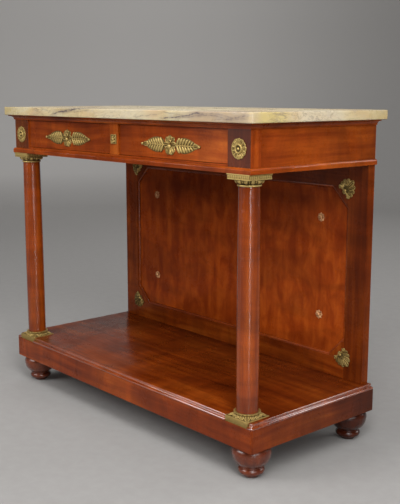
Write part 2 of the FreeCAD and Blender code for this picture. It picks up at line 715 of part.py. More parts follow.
def rosette(name, x):
    """A round patera: scalloped rim, dished ring and a boss."""
    ring_half = "rosette_ring_width / 2"
    body = turned(name, [
        ("0", "0"), ("rosette_radius", "0"), ("rosette_radius", "mount_plate", OVOLO_SHARE),
        ("rosette_dish_radius", "rosette_rim_height"),
        (f"rosette_ring_radius + {ring_half}", "mount_plate", HALF_ROUND_SHARE),
        (f"rosette_ring_radius - {ring_half}", "mount_plate"), ("0", "mount_plate")])
    petals(name, body, "rosette_radius", "rosette_petal_radius", "rosette_petal_radius",
           "rosette_rim_height", ROSETTE_PETALS)
    button(f"{name}_boss", "rosette_boss_radius", "rosette_rim_height", "rosette_boss_height", body)
    return place(body, x, FRONT, ORNAMENT_Z, facing())


def frieze_mounts():
    right = rosette("post_rosette", f"{SIDE} - post_width / 2")
    group("post_rosettes", [right, mirrored("post_rosette_left", right)])
    middle = f"({FRIEZE_BOTTOM} + patera_rise)"
    plate = board("patera_plate", around("0", "patera_side"), (f"{FRONT} - mount_plate", FRONT),
                  around(middle, "patera_side"))
    flower = button("patera_boss", "patera_boss_radius", "2 * mount_plate", "patera_boss_height")
    petals("patera", flower, "patera_petal_ring_radius", "patera_petal_radius", "patera_petal_radius",
           "mount_plate + mount_plate / 2", PATERA_PETALS)
    place(flower, "0", FRONT, middle, facing())
    node("centre_patera", fuse("patera_casting", [plate, flower]))


# Columns with capitals and bases

def columns():
    low, high = f"({PLINTH_TOP} - tenon_depth)", f"({FRIEZE_BOTTOM} + tenon_depth)"
    shaft = turned("shaft", [
        ("0", low), ("tenon_radius", low), ("tenon_radius", BASE_TOP),
        ("column_radius_bottom", BASE_TOP, ENTASIS_SHARE), ("column_radius_top", CAPITAL_BOTTOM),
        ("tenon_radius", CAPITAL_BOTTOM), ("tenon_radius", high), ("0", high)])
    pair("column", place(shaft, COLUMN_X, COLUMN_Y))
    bore = "tenon_radius + tenon_clearance"
    bell_top = "astragal_height + echinus_height"
    bell = turned("capital_bell", [
        (bore, "0"), ("column_radius_top", "0", TORUS_SHARE), ("column_radius_top", "astragal_height"),
        ("astragal_radius", "astragal_height"), ("capital_radius", bell_top), (bore, bell_top)])
    egg_foot = ("astragal_radius - egg_radius / 4", "astragal_height + egg_radius / 4")
    egg_top = ("capital_radius - egg_radius / 2", f"{bell_top} - egg_radius / 4")
    leaf_ring("capital_egg", bell, egg_foot, egg_top, "egg_radius", CAPITAL_EGGS)
    place(bell, COLUMN_X, COLUMN_Y, CAPITAL_BOTTOM)
    across, along = around(COLUMN_X, "abacus_side"), around(COLUMN_Y, "abacus_side")
    abacus = board("abacus", across, along, (f"{FRIEZE_BOTTOM} - abacus_height", FRIEZE_BOTTOM))
    drill = rod("capital_bore", bore, "abacus_height + 2 * overrun", COLUMN_X, COLUMN_Y,
                f"{FRIEZE_BOTTOM} - abacus_height - overrun")
    pair("capital", fuse("capital_casting", [bell, cut("abacus", abacus, [drill])]))
    ring_low = f"({SHELF_TOP} + base_plate_rise)"
    ring = turned("base_ring", [
        (bore, "0"), ("base_ring_radius", "0", COVE_SHARE),
        ("base_waist_radius", "base_waist_height", BEAD_SHARE),
        ("base_rim_radius", "base_ring_height"), (bore, "base_ring_height")])
    leaf_tip = ("base_ring_radius - base_leaf_radius / 2", "base_leaf_radius / 3")
    leaf_root = ("base_waist_radius - base_leaf_radius / 2", "base_waist_height")
    leaf_ring("base_leaf", ring, leaf_tip, leaf_root, "base_leaf_radius", BASE_LEAVES)
    place(ring, COLUMN_X, COLUMN_Y, ring_low)
    across, along = around(COLUMN_X, "base_plate_side"), around(COLUMN_Y, "base_plate_side")
    plate = board("base_plate", across, along, (PLINTH_TOP, ring_low))
    drill = rod("base_bore", bore, "shelf_thickness + base_plate_rise + 2 * overrun", COLUMN_X, COLUMN_Y,
                f"{PLINTH_TOP} - overrun")
    pair("column_base", fuse("base_casting", [ring, cut("base_plate", plate, [drill])]))


# Panelled back: grooved frame, panel, canted corner pieces and the bead round the field

FRAME_FRONT = f"({BACK} - frame_thickness)"
PANEL_FRONT = f"({FRAME_FRONT} + panel_recess)"
FIELD_SIDE = f"({SIDE} - back_stile_width)"
FIELD_LOW = f"({SHELF_TOP} + back_bottom_rail_height)"
FIELD_HIGH = f"({FRIEZE_BOTTOM} - back_top_rail_height)"


def panelled_back():
    depth = (FRAME_FRONT, BACK)
    across = (f"-{FIELD_SIDE}", FIELD_SIDE)
    panel = board("panel_board", (f"-{FIELD_SIDE} - panel_tongue", f"{FIELD_SIDE} + panel_tongue"),
                  (PANEL_FRONT, f"{PANEL_FRONT} + panel_thickness"),
                  (f"{FIELD_LOW} - panel_tongue", f"{FIELD_HIGH} + panel_tongue"))
    node("back_panel", panel)
    plan = [(FIELD_SIDE, SHELF_TOP), (SIDE, SHELF_TOP), (SIDE, FRIEZE_BOTTOM), (SIDE_INNER, FRIEZE_BOTTOM),
            (SIDE_INNER, MARBLE_BOTTOM), (FIELD_SIDE, MARBLE_BOTTOM)]
    stile = place(padded("stile_board", plan, "frame_thickness", "XZ_Plane"), y=FRAME_FRONT)
    pair("back_stile", cut("back_stile", stile, [panel]))
    top = board("back_top_board", across, depth, (FIELD_HIGH, FRIEZE_BOTTOM))
    node("back_top_rail", cut("back_top_rail", top, [panel]))
    bottom = board("back_bottom_board", across, depth, (SHELF_TOP, FIELD_LOW))
    node("back_bottom_rail", cut("back_bottom_rail", bottom, [panel]))
    corners = []
    for name, edge, inward in (("top", FIELD_HIGH, "-"), ("bottom", FIELD_LOW, "+")):
        plan = [(FIELD_SIDE, edge), (f"{FIELD_SIDE} - cant", edge), (FIELD_SIDE, f"{edge} {inward} cant")]
        right = place(padded(f"spandrel_{name}", plan, "panel_recess", "XZ_Plane"), y=FRAME_FRONT)
        corners += [right, mirrored(f"spandrel_{name}_left", right)]
    group("back_spandrels", corners)
    field_bead()
    back_mounts()


def field_bead():
    """Eight mitred strips of quarter-round bead round the canted field."""
    inner_side = f"({FIELD_SIDE} - bead_width)"
    short = f"(cant + {MITRE_SHARE} * bead_width)"
    strips = []
    for name, edge, inward in (("top", FIELD_HIGH, "-"), ("bottom", FIELD_LOW, "+")):
        inner = f"({edge} {inward} bead_width)"
        level = [(f"-({FIELD_SIDE} - cant)", edge), (f"{FIELD_SIDE} - cant", edge),
                 (f"{FIELD_SIDE} - {short}", inner), (f"-({FIELD_SIDE} - {short})", inner)]
        slope = [(f"{FIELD_SIDE} - cant", edge), (FIELD_SIDE, f"{edge} {inward} cant"),
                 (inner_side, f"{edge} {inward} {short}"), (f"{FIELD_SIDE} - {short}", inner)]
        strips.append(bead_strip(f"bead_{name}", level))
        right = bead_strip(f"bead_{name}_cant", slope)
        strips += [right, mirrored(f"bead_{name}_cant_left", right)]
    upright = [(FIELD_SIDE, f"{FIELD_LOW} + cant"), (FIELD_SIDE, f"{FIELD_HIGH} - cant"),
               (inner_side, f"{FIELD_HIGH} - {short}"), (inner_side, f"{FIELD_LOW} + {short}")]
    right = bead_strip("bead_upright", upright)
    group("back_field_bead", strips + [right, mirrored("bead_upright_left", right)])


def bead_strip(name, plan):
    """One strip, rounded on the edge between its third and fourth corners at the front."""
    strip = padded(name, plan, "bead_depth", "XZ_Plane")
    x_low, x_high = sorted(value(corner[0]) for corner in plan[2:])
    z_low, z_high = sorted(value(corner[1]) for corner in plan[2:])
    round_edges(strip, "bead_round", lambda box: (
        near(box.YMax, 0) and near(box.XMin, x_low) and near(box.XMax, x_high)
        and near(box.ZMin, z_low) and near(box.ZMax, z_high)))
    return place(strip, y=f"{PANEL_FRONT} - bead_depth")


def palmette(name, x, z, heading):
    """A fan of leaves on a heel and a bar that ends in two scrolls, its middle leaf along the heading."""
    middle = PALMETTE_LEAVES // 2
    leaves = [(f"(palmette_reach * {PALMETTE_REACH_SHARES[abs(index)]})", "palmette_leaf_width", (x, z),
               heading + index * PALMETTE_SPREAD_DEGREES) for index in range(-middle, middle + 1)]
    half_long, half_wide = "palmette_bar_length / 2", "palmette_bar_width / 2"
    bar = padded(f"{name}_bar", [
        (f"-({half_wide})", f"-({half_long})"), (half_wide, f"-({half_long})"), (half_wide, half_long),
        (f"-({half_wide})", half_long)], "mount_plate")
    button(f"{name}_heel", "palmette_heel_radius", "mount_plate", "2 * mount_plate", bar)
    pieces = [foliage(name, FRAME_FRONT, leaves), place(bar, x, FRAME_FRONT, z, facing(heading))]
    step = f"{DIAGONAL_SHARE} * {half_long}"
    for side, across, up in (("left", "-", "+"), ("right", "+", "-")):
        scroll = button(f"{name}_scroll_{side}", "palmette_scroll_radius", "mount_plate", "2 * mount_plate")
        rise = up if heading > 0 else across
        pieces.append(place(scroll, f"{x} {across} {step}", FRAME_FRONT, f"{z} {rise} {step}", facing()))
    return fuse(f"{name}_casting", pieces)


def star(name, z):
    """A pointed star with a domed boss, on the panel."""
    body = turned(f"{name}_boss", [
        ("0", "0"), ("star_waist_radius", "0"), ("star_waist_radius", "mount_plate / 2"),
        ("star_boss_radius", "mount_plate / 2",
         dome("star_boss_radius", "star_boss_height - mount_plate / 2")), ("0", "star_boss_height")])
    points = [("0", "-star_waist_radius / 2"), ("star_radius", "0"), ("0", "star_waist_radius / 2")]
    padded(f"{name}_ray", points, "mount_plate / 2", body=body)
    polar(f"{name}_rays", body, STAR_POINTS)
    return place(body, f"{FIELD_SIDE} - star_inset_side", PANEL_FRONT, z, facing())


def back_mounts():
    step_in = f"(cant / 2 - {DIAGONAL_SHARE} * palmette_offset)"
    x = f"{FIELD_SIDE} - {step_in}"
    right_fans = [palmette("palmette_top", x, f"{FIELD_HIGH} - {step_in}", 45),
                  palmette("palmette_bottom", x, f"{FIELD_LOW} + {step_in}", -45)]
    group("corner_palmettes", right_fans + [mirrored(f"{fan.Name}_left", fan) for fan in right_fans])
    right_stars = [star("star_top", f"{FIELD_HIGH} - star_inset_top"),
                   star("star_bottom", f"{FIELD_LOW} + star_inset_bottom")]
    group("star_rosettes", right_stars + [mirrored(f"{one.Name}_left", one) for one in right_stars])


# Plinth boards, shelf, corner blocks and feet

PLINTH_SIDE = f"({SIDE} + plinth_side_projection)"
PLINTH_FRONT = f"({FRONT} - plinth_front_projection)"
PLINTH_INNER = f"({PLINTH_SIDE} - plinth_board_thickness)"
PLINTH_INNER_FRONT = f"({PLINTH_FRONT} + plinth_board_thickness)"
PLINTH_INNER_BACK = f"({BACK} - plinth_board_thickness)"


def plinth():
    turn_x, turn_y = f"({PLINTH_SIDE} - plinth_corner_radius)", f"({PLINTH_FRONT} + plinth_corner_radius)"
    mitre_x = f"({turn_x} + {DIAGONAL_SHARE} * plinth_corner_radius)"
    mitre_y = f"({turn_y} - {DIAGONAL_SHARE} * plinth_corner_radius)"
    front_plan = [(f"-{mitre_x}", mitre_y, EIGHTH_ROUND_SHARE), (f"-{turn_x}", PLINTH_FRONT),
                  (turn_x, PLINTH_FRONT, EIGHTH_ROUND_SHARE), (mitre_x, mitre_y),
                  (PLINTH_INNER, PLINTH_INNER_FRONT), (f"-{PLINTH_INNER}", PLINTH_INNER_FRONT)]
    front = place(padded("plinth_front_board", front_plan, "plinth_height"), z="foot_height")
    node("plinth_front", front)
    side_plan = [(mitre_x, mitre_y, EIGHTH_ROUND_SHARE), (PLINTH_SIDE, turn_y), (PLINTH_SIDE, BACK),
                 (PLINTH_INNER, BACK), (PLINTH_INNER, PLINTH_INNER_FRONT)]
    pair("plinth_side", place(padded("plinth_side_board", side_plan, "plinth_height"), z="foot_height"))
    height = ("foot_height", PLINTH_TOP)
    node("plinth_back",
         board("plinth_back_board", (f"-{PLINTH_INNER}", PLINTH_INNER), (PLINTH_INNER_BACK, BACK), height))
    inner = f"{PLINTH_INNER} - block_side"
    front_block = board("front_block", (inner, PLINTH_INNER),
                        (PLINTH_INNER_FRONT, f"{PLINTH_INNER_FRONT} + block_side"), height)
    back_block = board("back_block", (inner, PLINTH_INNER),
                       (f"{PLINTH_INNER_BACK} - block_side", PLINTH_INNER_BACK), height)
    column_bore = rod("block_column_bore", "tenon_radius + tenon_clearance",
                      "tenon_depth + tenon_clearance + overrun", COLUMN_X, COLUMN_Y,
                      f"{PLINTH_TOP} - tenon_depth - tenon_clearance")
    x = f"{PLINTH_SIDE} - foot_inset_side"
    front_y, back_y = f"{PLINTH_FRONT} + foot_inset_front", f"{BACK} - foot_inset_back"
    blocks = []
    for name, block, y, others in (("front", front_block, front_y, [column_bore]),
                                   ("back", back_block, back_y, [])):
        foot_bore = rod(f"{name}_foot_bore", "foot_tenon_radius + tenon_clearance",
                        "foot_tenon_depth + tenon_clearance + overrun", x, y, "foot_height - overrun")
        right = cut(f"{name}_block", block, [foot_bore] + others)
        blocks += [right, mirrored(f"{name}_block_left", right)]
        pair(f"foot_{name}", place(foot(f"{name}_foot"), x, y))
    group("plinth_corner_blocks", blocks)
    shelf()


def shelf():
    """Shelf board with a rounded lip, a stepped edge above it and a notch for each column base."""
    body = None
    for name, inset, height in (("lip", "0", "shelf_lip_height"), ("top", "shelf_step", "shelf_thickness")):
        side, front = f"({PLINTH_SIDE} - {inset})", f"({PLINTH_FRONT} + {inset})"
        turn_x, turn_y = f"({side} - plinth_corner_radius)", f"({front} + plinth_corner_radius)"
        outline = [(f"-{side}", BACK), (f"-{side}", turn_y, QUARTER_ROUND_SHARE), (f"-{turn_x}", front),
                   (turn_x, front, QUARTER_ROUND_SHARE), (side, turn_y), (side, BACK)]
        body = padded(f"shelf_{name}", outline, height, body=body)
    outer, back = value(PLINTH_SIDE), value(BACK)
    lip = value("shelf_lip_height")

    def on_lip(box):
        outside = max(box.XMax, -box.XMin) > outer - value("plinth_corner_radius / 2")
        outside = outside or near(box.YMin, value(PLINTH_FRONT))
        return near(box.ZMin, lip) and near(box.ZMax, lip) and outside and not near(box.YMin, back)

    def on_top(box):
        top = value("shelf_thickness")
        return near(box.ZMin, top) and near(box.ZMax, top) and not near(box.YMin, back)

    round_edges(body, "shelf_lip_round", on_lip)
    round_edges(body, "shelf_arris", on_top)
    place(body, z=PLINTH_TOP)
    room = "base_plate_side + 2 * tenon_clearance"
    notch_y = (f"{PLINTH_FRONT} - overrun", f"{COLUMN_Y} + ({room}) / 2")
    notch_z = (f"{PLINTH_TOP} - overrun", f"{SHELF_TOP} + overrun")
    notches = [board(f"shelf_notch{index}", around(f"{side}{COLUMN_X}", room), notch_y, notch_z)
               for index, side in enumerate(("", "-"))]
    node("plinth_shelf", cut("plinth_shelf", body, notches))


def foot(name):
    """A turned foot: toe, ring, groove, belly and shoulder, with a tenon above."""
    ring = "(foot_ankle_height + foot_ring_height)"
    belly = f"({ring} + foot_groove_height)"
    top = "(foot_height + foot_tenon_depth)"
    return turned(name, [
        ("0", "0"), ("foot_toe_radius", "0"), ("foot_ankle_radius", "foot_ankle_height", RING_SHARE),
        ("foot_groove_radius", ring), ("foot_groove_radius", belly, BELLY_SHARE),
        ("foot_belly_radius", f"{belly} + foot_belly_height", SHOULDER_SHARE),
        ("foot_neck_radius", "foot_height"), ("foot_tenon_radius", "foot_height"),
        ("foot_tenon_radius", top), ("0", top)])


def check_and_write():
    """Stop on any failed object or bad solid, then write each piece to its own file."""
    doc.recompute()
    failed = [item.Name for item in doc.Objects if {"Invalid", "Error"} & set(item.State)]
    if failed:
        raise RuntimeError(f"failed objects: {failed}")
    for label, piece in nodes.items():
        if piece.Shape.isNull() or not piece.Shape.isValid() or not piece.Shape.Solids:
            raise RuntimeError(f"bad shape: {label}")
    os.makedirs("parts", exist_ok=True)
    for label, piece in nodes.items():
        piece.Shape.exportStep(f"parts/{label}.step")
    print(len(nodes), "pieces written")


marble_top()
cornice()
frieze_band()
frieze()
drawer_way()
drawer()
frieze_mounts()
columns()
panelled_back()
plinth()
check_and_write()
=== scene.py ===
"""Looks of the pier table: French-polished mahogany, veined marble and cast gilt bronze."""

import json
from math import cos, hypot, pi, radians, sin

import bmesh
import bpy
import numpy as np
from mathutils import Matrix, Vector

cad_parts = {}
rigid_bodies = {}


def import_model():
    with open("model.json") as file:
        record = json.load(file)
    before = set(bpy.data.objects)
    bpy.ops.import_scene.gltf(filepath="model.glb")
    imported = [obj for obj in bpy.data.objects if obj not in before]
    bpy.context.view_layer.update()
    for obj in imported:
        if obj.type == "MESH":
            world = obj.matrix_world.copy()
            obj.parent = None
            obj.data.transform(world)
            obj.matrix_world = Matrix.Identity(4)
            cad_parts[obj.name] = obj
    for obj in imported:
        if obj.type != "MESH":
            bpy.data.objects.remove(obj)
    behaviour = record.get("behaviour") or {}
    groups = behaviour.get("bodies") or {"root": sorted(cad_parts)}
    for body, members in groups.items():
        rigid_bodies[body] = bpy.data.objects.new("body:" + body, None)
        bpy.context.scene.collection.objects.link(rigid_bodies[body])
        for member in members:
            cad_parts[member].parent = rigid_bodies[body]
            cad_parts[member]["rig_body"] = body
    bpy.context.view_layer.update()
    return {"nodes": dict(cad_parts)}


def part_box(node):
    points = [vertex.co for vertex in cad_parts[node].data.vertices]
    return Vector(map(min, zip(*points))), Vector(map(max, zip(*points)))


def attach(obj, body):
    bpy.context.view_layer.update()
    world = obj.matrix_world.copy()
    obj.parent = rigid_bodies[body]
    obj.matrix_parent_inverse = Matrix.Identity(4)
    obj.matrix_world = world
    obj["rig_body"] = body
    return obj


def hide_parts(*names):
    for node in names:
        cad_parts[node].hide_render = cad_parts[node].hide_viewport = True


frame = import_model()

MM = 0.001
SIDES = ("left", "right")
WELD = 0.002 * MM
FLAT_ANGLE = radians(0.2)
ARRIS_ANGLE = radians(40)
CREASE_ANGLE = radians(32)

# The photograph's camera, found from the edges of slab, plinth and back
CAMERA_PLACE = (2.0086, -1.6644, 0.9613)
CAMERA_YAW = 0.8515
CAMERA_PITCH = 0.1793
FOCAL_PIXELS = 872.07
PICTURE_HEIGHT_PIXELS = 504
SENSOR_MM = 36.0


# Node trees

def add(tree, kind, inputs=None, **settings):
    """Add a node. An input, by name or number, is a plain value or an output to link from."""
    node = tree.nodes.new(kind)
    for name, value in settings.items():
        setattr(node, name, value)
    for name, value in (inputs or {}).items():
        if isinstance(value, bpy.types.NodeSocket):
            tree.links.new(value, node.inputs[name])
        else:
            node.inputs[name].default_value = value
    return node


def calc(tree, operation, first, second=0.0, clamp=False):
    """One sum of two numbers."""
    node = add(tree, "ShaderNodeMath", {0: first, 1: second}, operation=operation, use_clamp=clamp)
    return node.outputs[0]


def plus(tree, first, second, clamp=False):
    """Two numbers added."""
    return calc(tree, "ADD", first, second, clamp)


def minus(tree, first, second):
    """One number less another."""
    return calc(tree, "SUBTRACT", first, second)


def times(tree, first, second):
    """Two numbers multiplied."""
    return calc(tree, "MULTIPLY", first, second)


def vector(tree, x=0.0, y=0.0, z=0.0):
    """A vector from three numbers."""
    return add(tree, "ShaderNodeCombineXYZ", {0: x, 1: y, 2: z}).outputs[0]


def vector_sum(tree, first, second):
    """Two vectors added."""
    return add(tree, "ShaderNodeVectorMath", {0: first, 1: second}, operation="ADD").outputs[0]


def remap(tree, value, low, high, new_low=0.0, new_high=1.0):
    """A value carried from one span to another, held at its ends."""
    spans = {0: value, 1: low, 2: high, 3: new_low, 4: new_high}
    return add(tree, "ShaderNodeMapRange", spans, interpolation_type="SMOOTHSTEP").outputs[0]


def tint(tree, factor, first, second, kind="MIX"):
    """Two colours mixed by a factor."""
    node = add(tree, "ShaderNodeMix", {0: factor, 6: first, 7: second}, data_type="RGBA", blend_type=kind)
    return node.outputs[2]


def noise(tree, place, scale, detail=4.0, roughness=0.5, distortion=0.0):
    """A cloudy value at one scale."""
    inputs = {"Vector": place, "Scale": scale, "Detail": detail, "Roughness": roughness,
              "Distortion": distortion}
    return add(tree, "ShaderNodeTexNoise", inputs).outputs[0]


def unevenness(tree, place, scale, spread, **settings):
    """A cloudy value about zero."""
    return times(tree, minus(tree, noise(tree, place, scale, **settings), 0.5), spread)


def stretched(tree, place, scale, turn=(0, 0, 0)):
    """A place scaled and turned."""
    inputs = {"Vector": place, "Rotation": turn, "Scale": scale}
    return add(tree, "ShaderNodeMapping", inputs).outputs[0]


def attribute(tree, name):
    """A number stored on the mesh."""
    return add(tree, "ShaderNodeAttribute", attribute_name=name).outputs["Fac"]


def rgb(*values):
    """A colour with full alpha."""
    return (*values, 1.0)


def ramp(tree, factor, stops):
    """A colour ramp through (place, colour) stops."""
    node = add(tree, "ShaderNodeValToRGB", {0: factor})
    elements = node.color_ramp.elements
    while len(elements) < len(stops):
        elements.new(0.5)
    for element, (place, colour) in zip(elements, stops):
        element.position = place
        element.color = rgb(*colour)
    return node.outputs[0]


def new_group(name, kind, inputs, outputs):
    """An empty group with named sockets; returns the tree with its input and output nodes."""
    tree = bpy.data.node_groups.new(name, kind)
    for label, socket, default in inputs:
        made = tree.interface.new_socket(label, in_out="INPUT", socket_type=socket)
        if default is not None:
            made.default_value = default
    for label, socket in outputs:
        tree.interface.new_socket(label, in_out="OUTPUT", socket_type=socket)
    return tree, tree.nodes.new("NodeGroupInput"), tree.nodes.new("NodeGroupOutput")


def use(tree, group, inputs):
    """Place a shader group in a material with its own values."""
    return add(tree, "ShaderNodeGroup", inputs, node_tree=group)


def new_material(name, **constants):
    """A material with a Principled shader; returns it with its tree, shader and object coordinates."""
    material = bpy.data.materials.new(name)
    material.use_nodes = True
    tree = material.node_tree
    shader = tree.nodes["Principled BSDF"]
    for label, value in constants.items():
        shader.inputs[label.replace("_", " ")].default_value = value
    place = tree.nodes.new("ShaderNodeTexCoord").outputs["Object"]
    return material, tree, shader, place


def wire(tree, shader, **outputs):
    """Link outputs to the shader's inputs."""
    for label, output in outputs.items():
        tree.links.new(output, shader.inputs[label.replace("_", " ")])


def bump(tree, height, strength, distance, below=None):
    """A normal from a height, on top of another normal where one is given."""
    inputs = {"Height": height, "Strength": strength, "Distance": distance}
    if below:
        inputs["Normal"] = below
    return add(tree, "ShaderNodeBump", inputs).outputs[0]


# Effects that several finishes share

NUMBER = "NodeSocketFloat"
VECTOR = "NodeSocketVector"
BOARD_SHIFTS = (1.73, 0.61, 0.37)
WANDER_ACROSS = (0.055, 0.04)


def grain_group():
    """Wood with its grain along X: broad figure, streaks, pores, mottle and each board's own tone."""
    tree, given, put = new_group(
        "Wood grain", "ShaderNodeTree",
        [("Place", VECTOR, None), ("Board", NUMBER, 0.0), ("Figure scale", NUMBER, 5.0),
         ("Streak scale", NUMBER, 60.0), ("Pore scale", NUMBER, 1500.0)],
        [(label, NUMBER) for label in ("Figure", "Streaks", "Pores", "Mottle", "Tone")])
    number = given.outputs["Board"]
    shift = vector(tree, *[times(tree, number, step) for step in BOARD_SHIFTS])
    place = vector_sum(tree, given.outputs["Place"], shift)
    wander = noise(tree, stretched(tree, place, (2.2, 6.0, 6.0)), 1.0, detail=2.0)
    drift = vector(tree, 0.0, *[times(tree, wander, reach) for reach in WANDER_ACROSS])
    bent = vector_sum(tree, place, drift)
    broad = stretched(tree, bent, (0.45, 1.0, 1.0))
    figure = noise(tree, broad, given.outputs["Figure scale"], detail=3.0, roughness=0.55, distortion=0.6)
    lines = stretched(tree, bent, (0.035, 1.0, 1.0))
    streaks = noise(tree, lines, given.outputs["Streak scale"], detail=5.0, roughness=0.62)
    dashes = stretched(tree, bent, (0.045, 1.0, 1.0))
    pores = noise(tree, dashes, given.outputs["Pore scale"], detail=1.0)
    across = stretched(tree, bent, (11.0, 3.6, 3.6))
    mottle = noise(tree, across, 1.0, detail=4.0, roughness=0.6, distortion=1.0)
    tone = add(tree, "ShaderNodeTexWhiteNoise", {"W": number}, noise_dimensions="1D").outputs["Value"]
    for label, output in (("Figure", figure), ("Streaks", streaks), ("Mottle", mottle),
                          ("Pores", remap(tree, pores, 0.60, 0.72)), ("Tone", tone)):
        tree.links.new(output, put.inputs[label])
    return tree


def smears_group():
    """Faint uneven gloss: hand rubbing, dust and old wax, from 0, clean, to 1, dull."""
    tree, given, put = new_group(
        "Smears", "ShaderNodeTree",
        [("Place", VECTOR, None), ("Scale", NUMBER, 9.0)],
        [("Dullness", NUMBER)])
    cloud = noise(tree, given.outputs["Place"], given.outputs["Scale"], detail=5.0, roughness=0.6)
    fine = noise(tree, given.outputs["Place"], 140.0, detail=2.0)
    mixed = plus(tree, times(tree, cloud, 0.8), times(tree, fine, 0.2))
    tree.links.new(remap(tree, mixed, 0.35, 0.68), put.inputs["Dullness"])
    return tree


GRAIN = grain_group()
SMEARS = smears_group()


# Finishes

GRAIN_TURNS = {"x": (0, 0, 0), "y": (0, 0, radians(-90)), "z": (0, radians(90), 0)}
FIGURE_STOPS = (0.32, 0.45, 0.55, 0.67)
TONE_SPREAD = 0.06
PORE_SHADE = 0.45
PORE_BUMP = 0.25
SMEAR_DULLING = 0.14
TURNING_MARKS = 450.0
MAHOGANY_COLOURS = ((0.090, 0.0115, 0.0012), (0.180, 0.027, 0.0024), (0.270, 0.048, 0.0042),
                    (0.390, 0.087, 0.009))
PANEL_COLOURS = ((0.155, 0.0200, 0.0022), (0.205, 0.0300, 0.0030), (0.260, 0.0430, 0.0042),
                 (0.320, 0.0600, 0.0062))
FOOT_COLOURS = ((0.050, 0.008, 0.003), (0.095, 0.017, 0.005), (0.140, 0.027, 0.008),
                (0.200, 0.044, 0.012))
OAK_COLOURS = ((0.15, 0.085, 0.035), (0.27, 0.165, 0.075), (0.36, 0.235, 0.115), (0.46, 0.32, 0.17))


def wood(name, along, colours, lustre=0.08, dull=0.26, pore_depth=0.03 * MM, figure_scale=5.0,
         streak_share=0.45, mottle_depth=0.2, polish=0.12, polish_index=1.5, turning_depth=0.0):
    """A wood with its grain along one axis, from dark to light, with each board's own wax, and its own
    stain together with painted shade and light.
    """
    material, tree, shader, place = new_material(
        name, Coat_Roughness=polish, Coat_IOR=polish_index, IOR=1.5, Specular_IOR_Level=lustre)
    number, stain, wax = [attribute(tree, label) for label in ("board", "stain", "wax")]
    turned = stretched(tree, place, (1, 1, 1), GRAIN_TURNS[along])
    grain = use(tree, GRAIN, {"Place": turned, "Board": number, "Figure scale": figure_scale}).outputs
    figure = times(tree, grain["Figure"], 1.0 - streak_share)
    streaks = times(tree, grain["Streaks"], streak_share)
    tone = times(tree, minus(tree, grain["Tone"], 0.5), TONE_SPREAD)
    lightness = plus(tree, plus(tree, figure, streaks), tone)
    colour = ramp(tree, lightness, list(zip(FIGURE_STOPS, colours)))
    pored = tint(tree, times(tree, grain["Pores"], PORE_SHADE), colour, rgb(*colours[0]))
    mottled = remap(tree, grain["Mottle"], 0.32, 0.68, 1.0 - mottle_depth, 1.0 + mottle_depth)
    # The colour is scaled by each part's stain together with painted shade and light
    stained_and_shaded = tint(tree, 1.0, pored, times(tree, stain, mottled), "MULTIPLY")
    smears = use(tree, SMEARS, {"Place": place}).outputs["Dullness"]
    rough = remap(tree, smears, 0.0, 1.0, dull, dull + SMEAR_DULLING)
    normal = bump(tree, times(tree, grain["Pores"], -1.0), PORE_BUMP, pore_depth)
    if turning_depth:
        marks = noise(tree, stretched(tree, place, (0.02, 0.02, 1.0)), TURNING_MARKS, detail=1.0)
        normal = bump(tree, marks, 1.0, turning_depth, normal)
    wire(tree, shader, Base_Color=stained_and_shaded, Roughness=rough, Coat_Weight=wax, Normal=normal)
    return material


def mahogany(along):
    """Plain polished mahogany for the boards and mouldings."""
    return wood(f"mahogany_{along}", along, MAHOGANY_COLOURS)


def panel_mahogany():
    """Flame-figured mahogany: fine wavering flames, with little straight streak."""
    return wood("mahogany_panel", "z", PANEL_COLOURS, lustre=0.05, figure_scale=26.0, streak_share=0.3,
                mottle_depth=0.16)


def shelf_mahogany():
    """Mahogany with filled pores and a hard polish that shows on the shelf's edge."""
    return wood("mahogany_shelf", "x", MAHOGANY_COLOURS, pore_depth=0.008 * MM, polish_index=2.3)


def column_mahogany():
    """Mahogany polished on the lathe: fine rings draw each highlight out along the shaft."""
    return wood("mahogany_column", "z", MAHOGANY_COLOURS, lustre=0.52, dull=0.08, pore_depth=0.02 * MM,
                turning_depth=0.8 * MM)


def foot_mahogany():
    """Dark, heavily waxed mahogany."""
    return wood("mahogany_foot", "z", FOOT_COLOURS, lustre=0.2, dull=0.2, figure_scale=9.0,
                mottle_depth=0.1, polish=0.27)


def oak(along):
    """Bare oak for what is hidden or inside."""
    return wood(f"oak_{along}", along, OAK_COLOURS, lustre=0.2, dull=0.55, pore_depth=0.12 * MM,
                figure_scale=7.0, streak_share=0.6, mottle_depth=0.1)


SLAB_LOW, SLAB_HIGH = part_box("marble_top")
SLAB_MIDDLE = (SLAB_LOW.z + SLAB_HIGH.z) / 2
# Main veins on the slab's front: middle along X and Z, rise per length, half length, half width, strength
MAIN_VEINS = (
    (-0.222, 0.9115, 0.19, 0.062, 0.0034, 0.95), (-0.190, 0.9130, 0.10, 0.050, 0.0026, 0.85),
    (-0.130, 0.9185, 0.05, 0.066, 0.0020, 0.75), (-0.120, 0.9120, 0.08, 0.050, 0.0014, 0.50),
    (-0.361, 0.9100, -0.27, 0.042, 0.0018, 0.45), (0.322, 0.9075, 0.117, 0.096, 0.0028, 0.95),
    (0.355, 0.9060, 0.09, 0.060, 0.0018, 0.60), (0.470, 0.9120, -0.06, 0.095, 0.0030, 0.35),
    (0.500, 0.9030, 0.05, 0.070, 0.0020, 0.35), (0.430, 0.9105, -0.10, 0.060, 0.0022, 0.55),
    (0.525, 0.9085, 0.12, 0.050, 0.0024, 0.60), (0.285, 0.9140, -0.06, 0.055, 0.0018, 0.50),
    (0.190, 0.9070, 0.08, 0.070, 0.0020, 0.45),
)
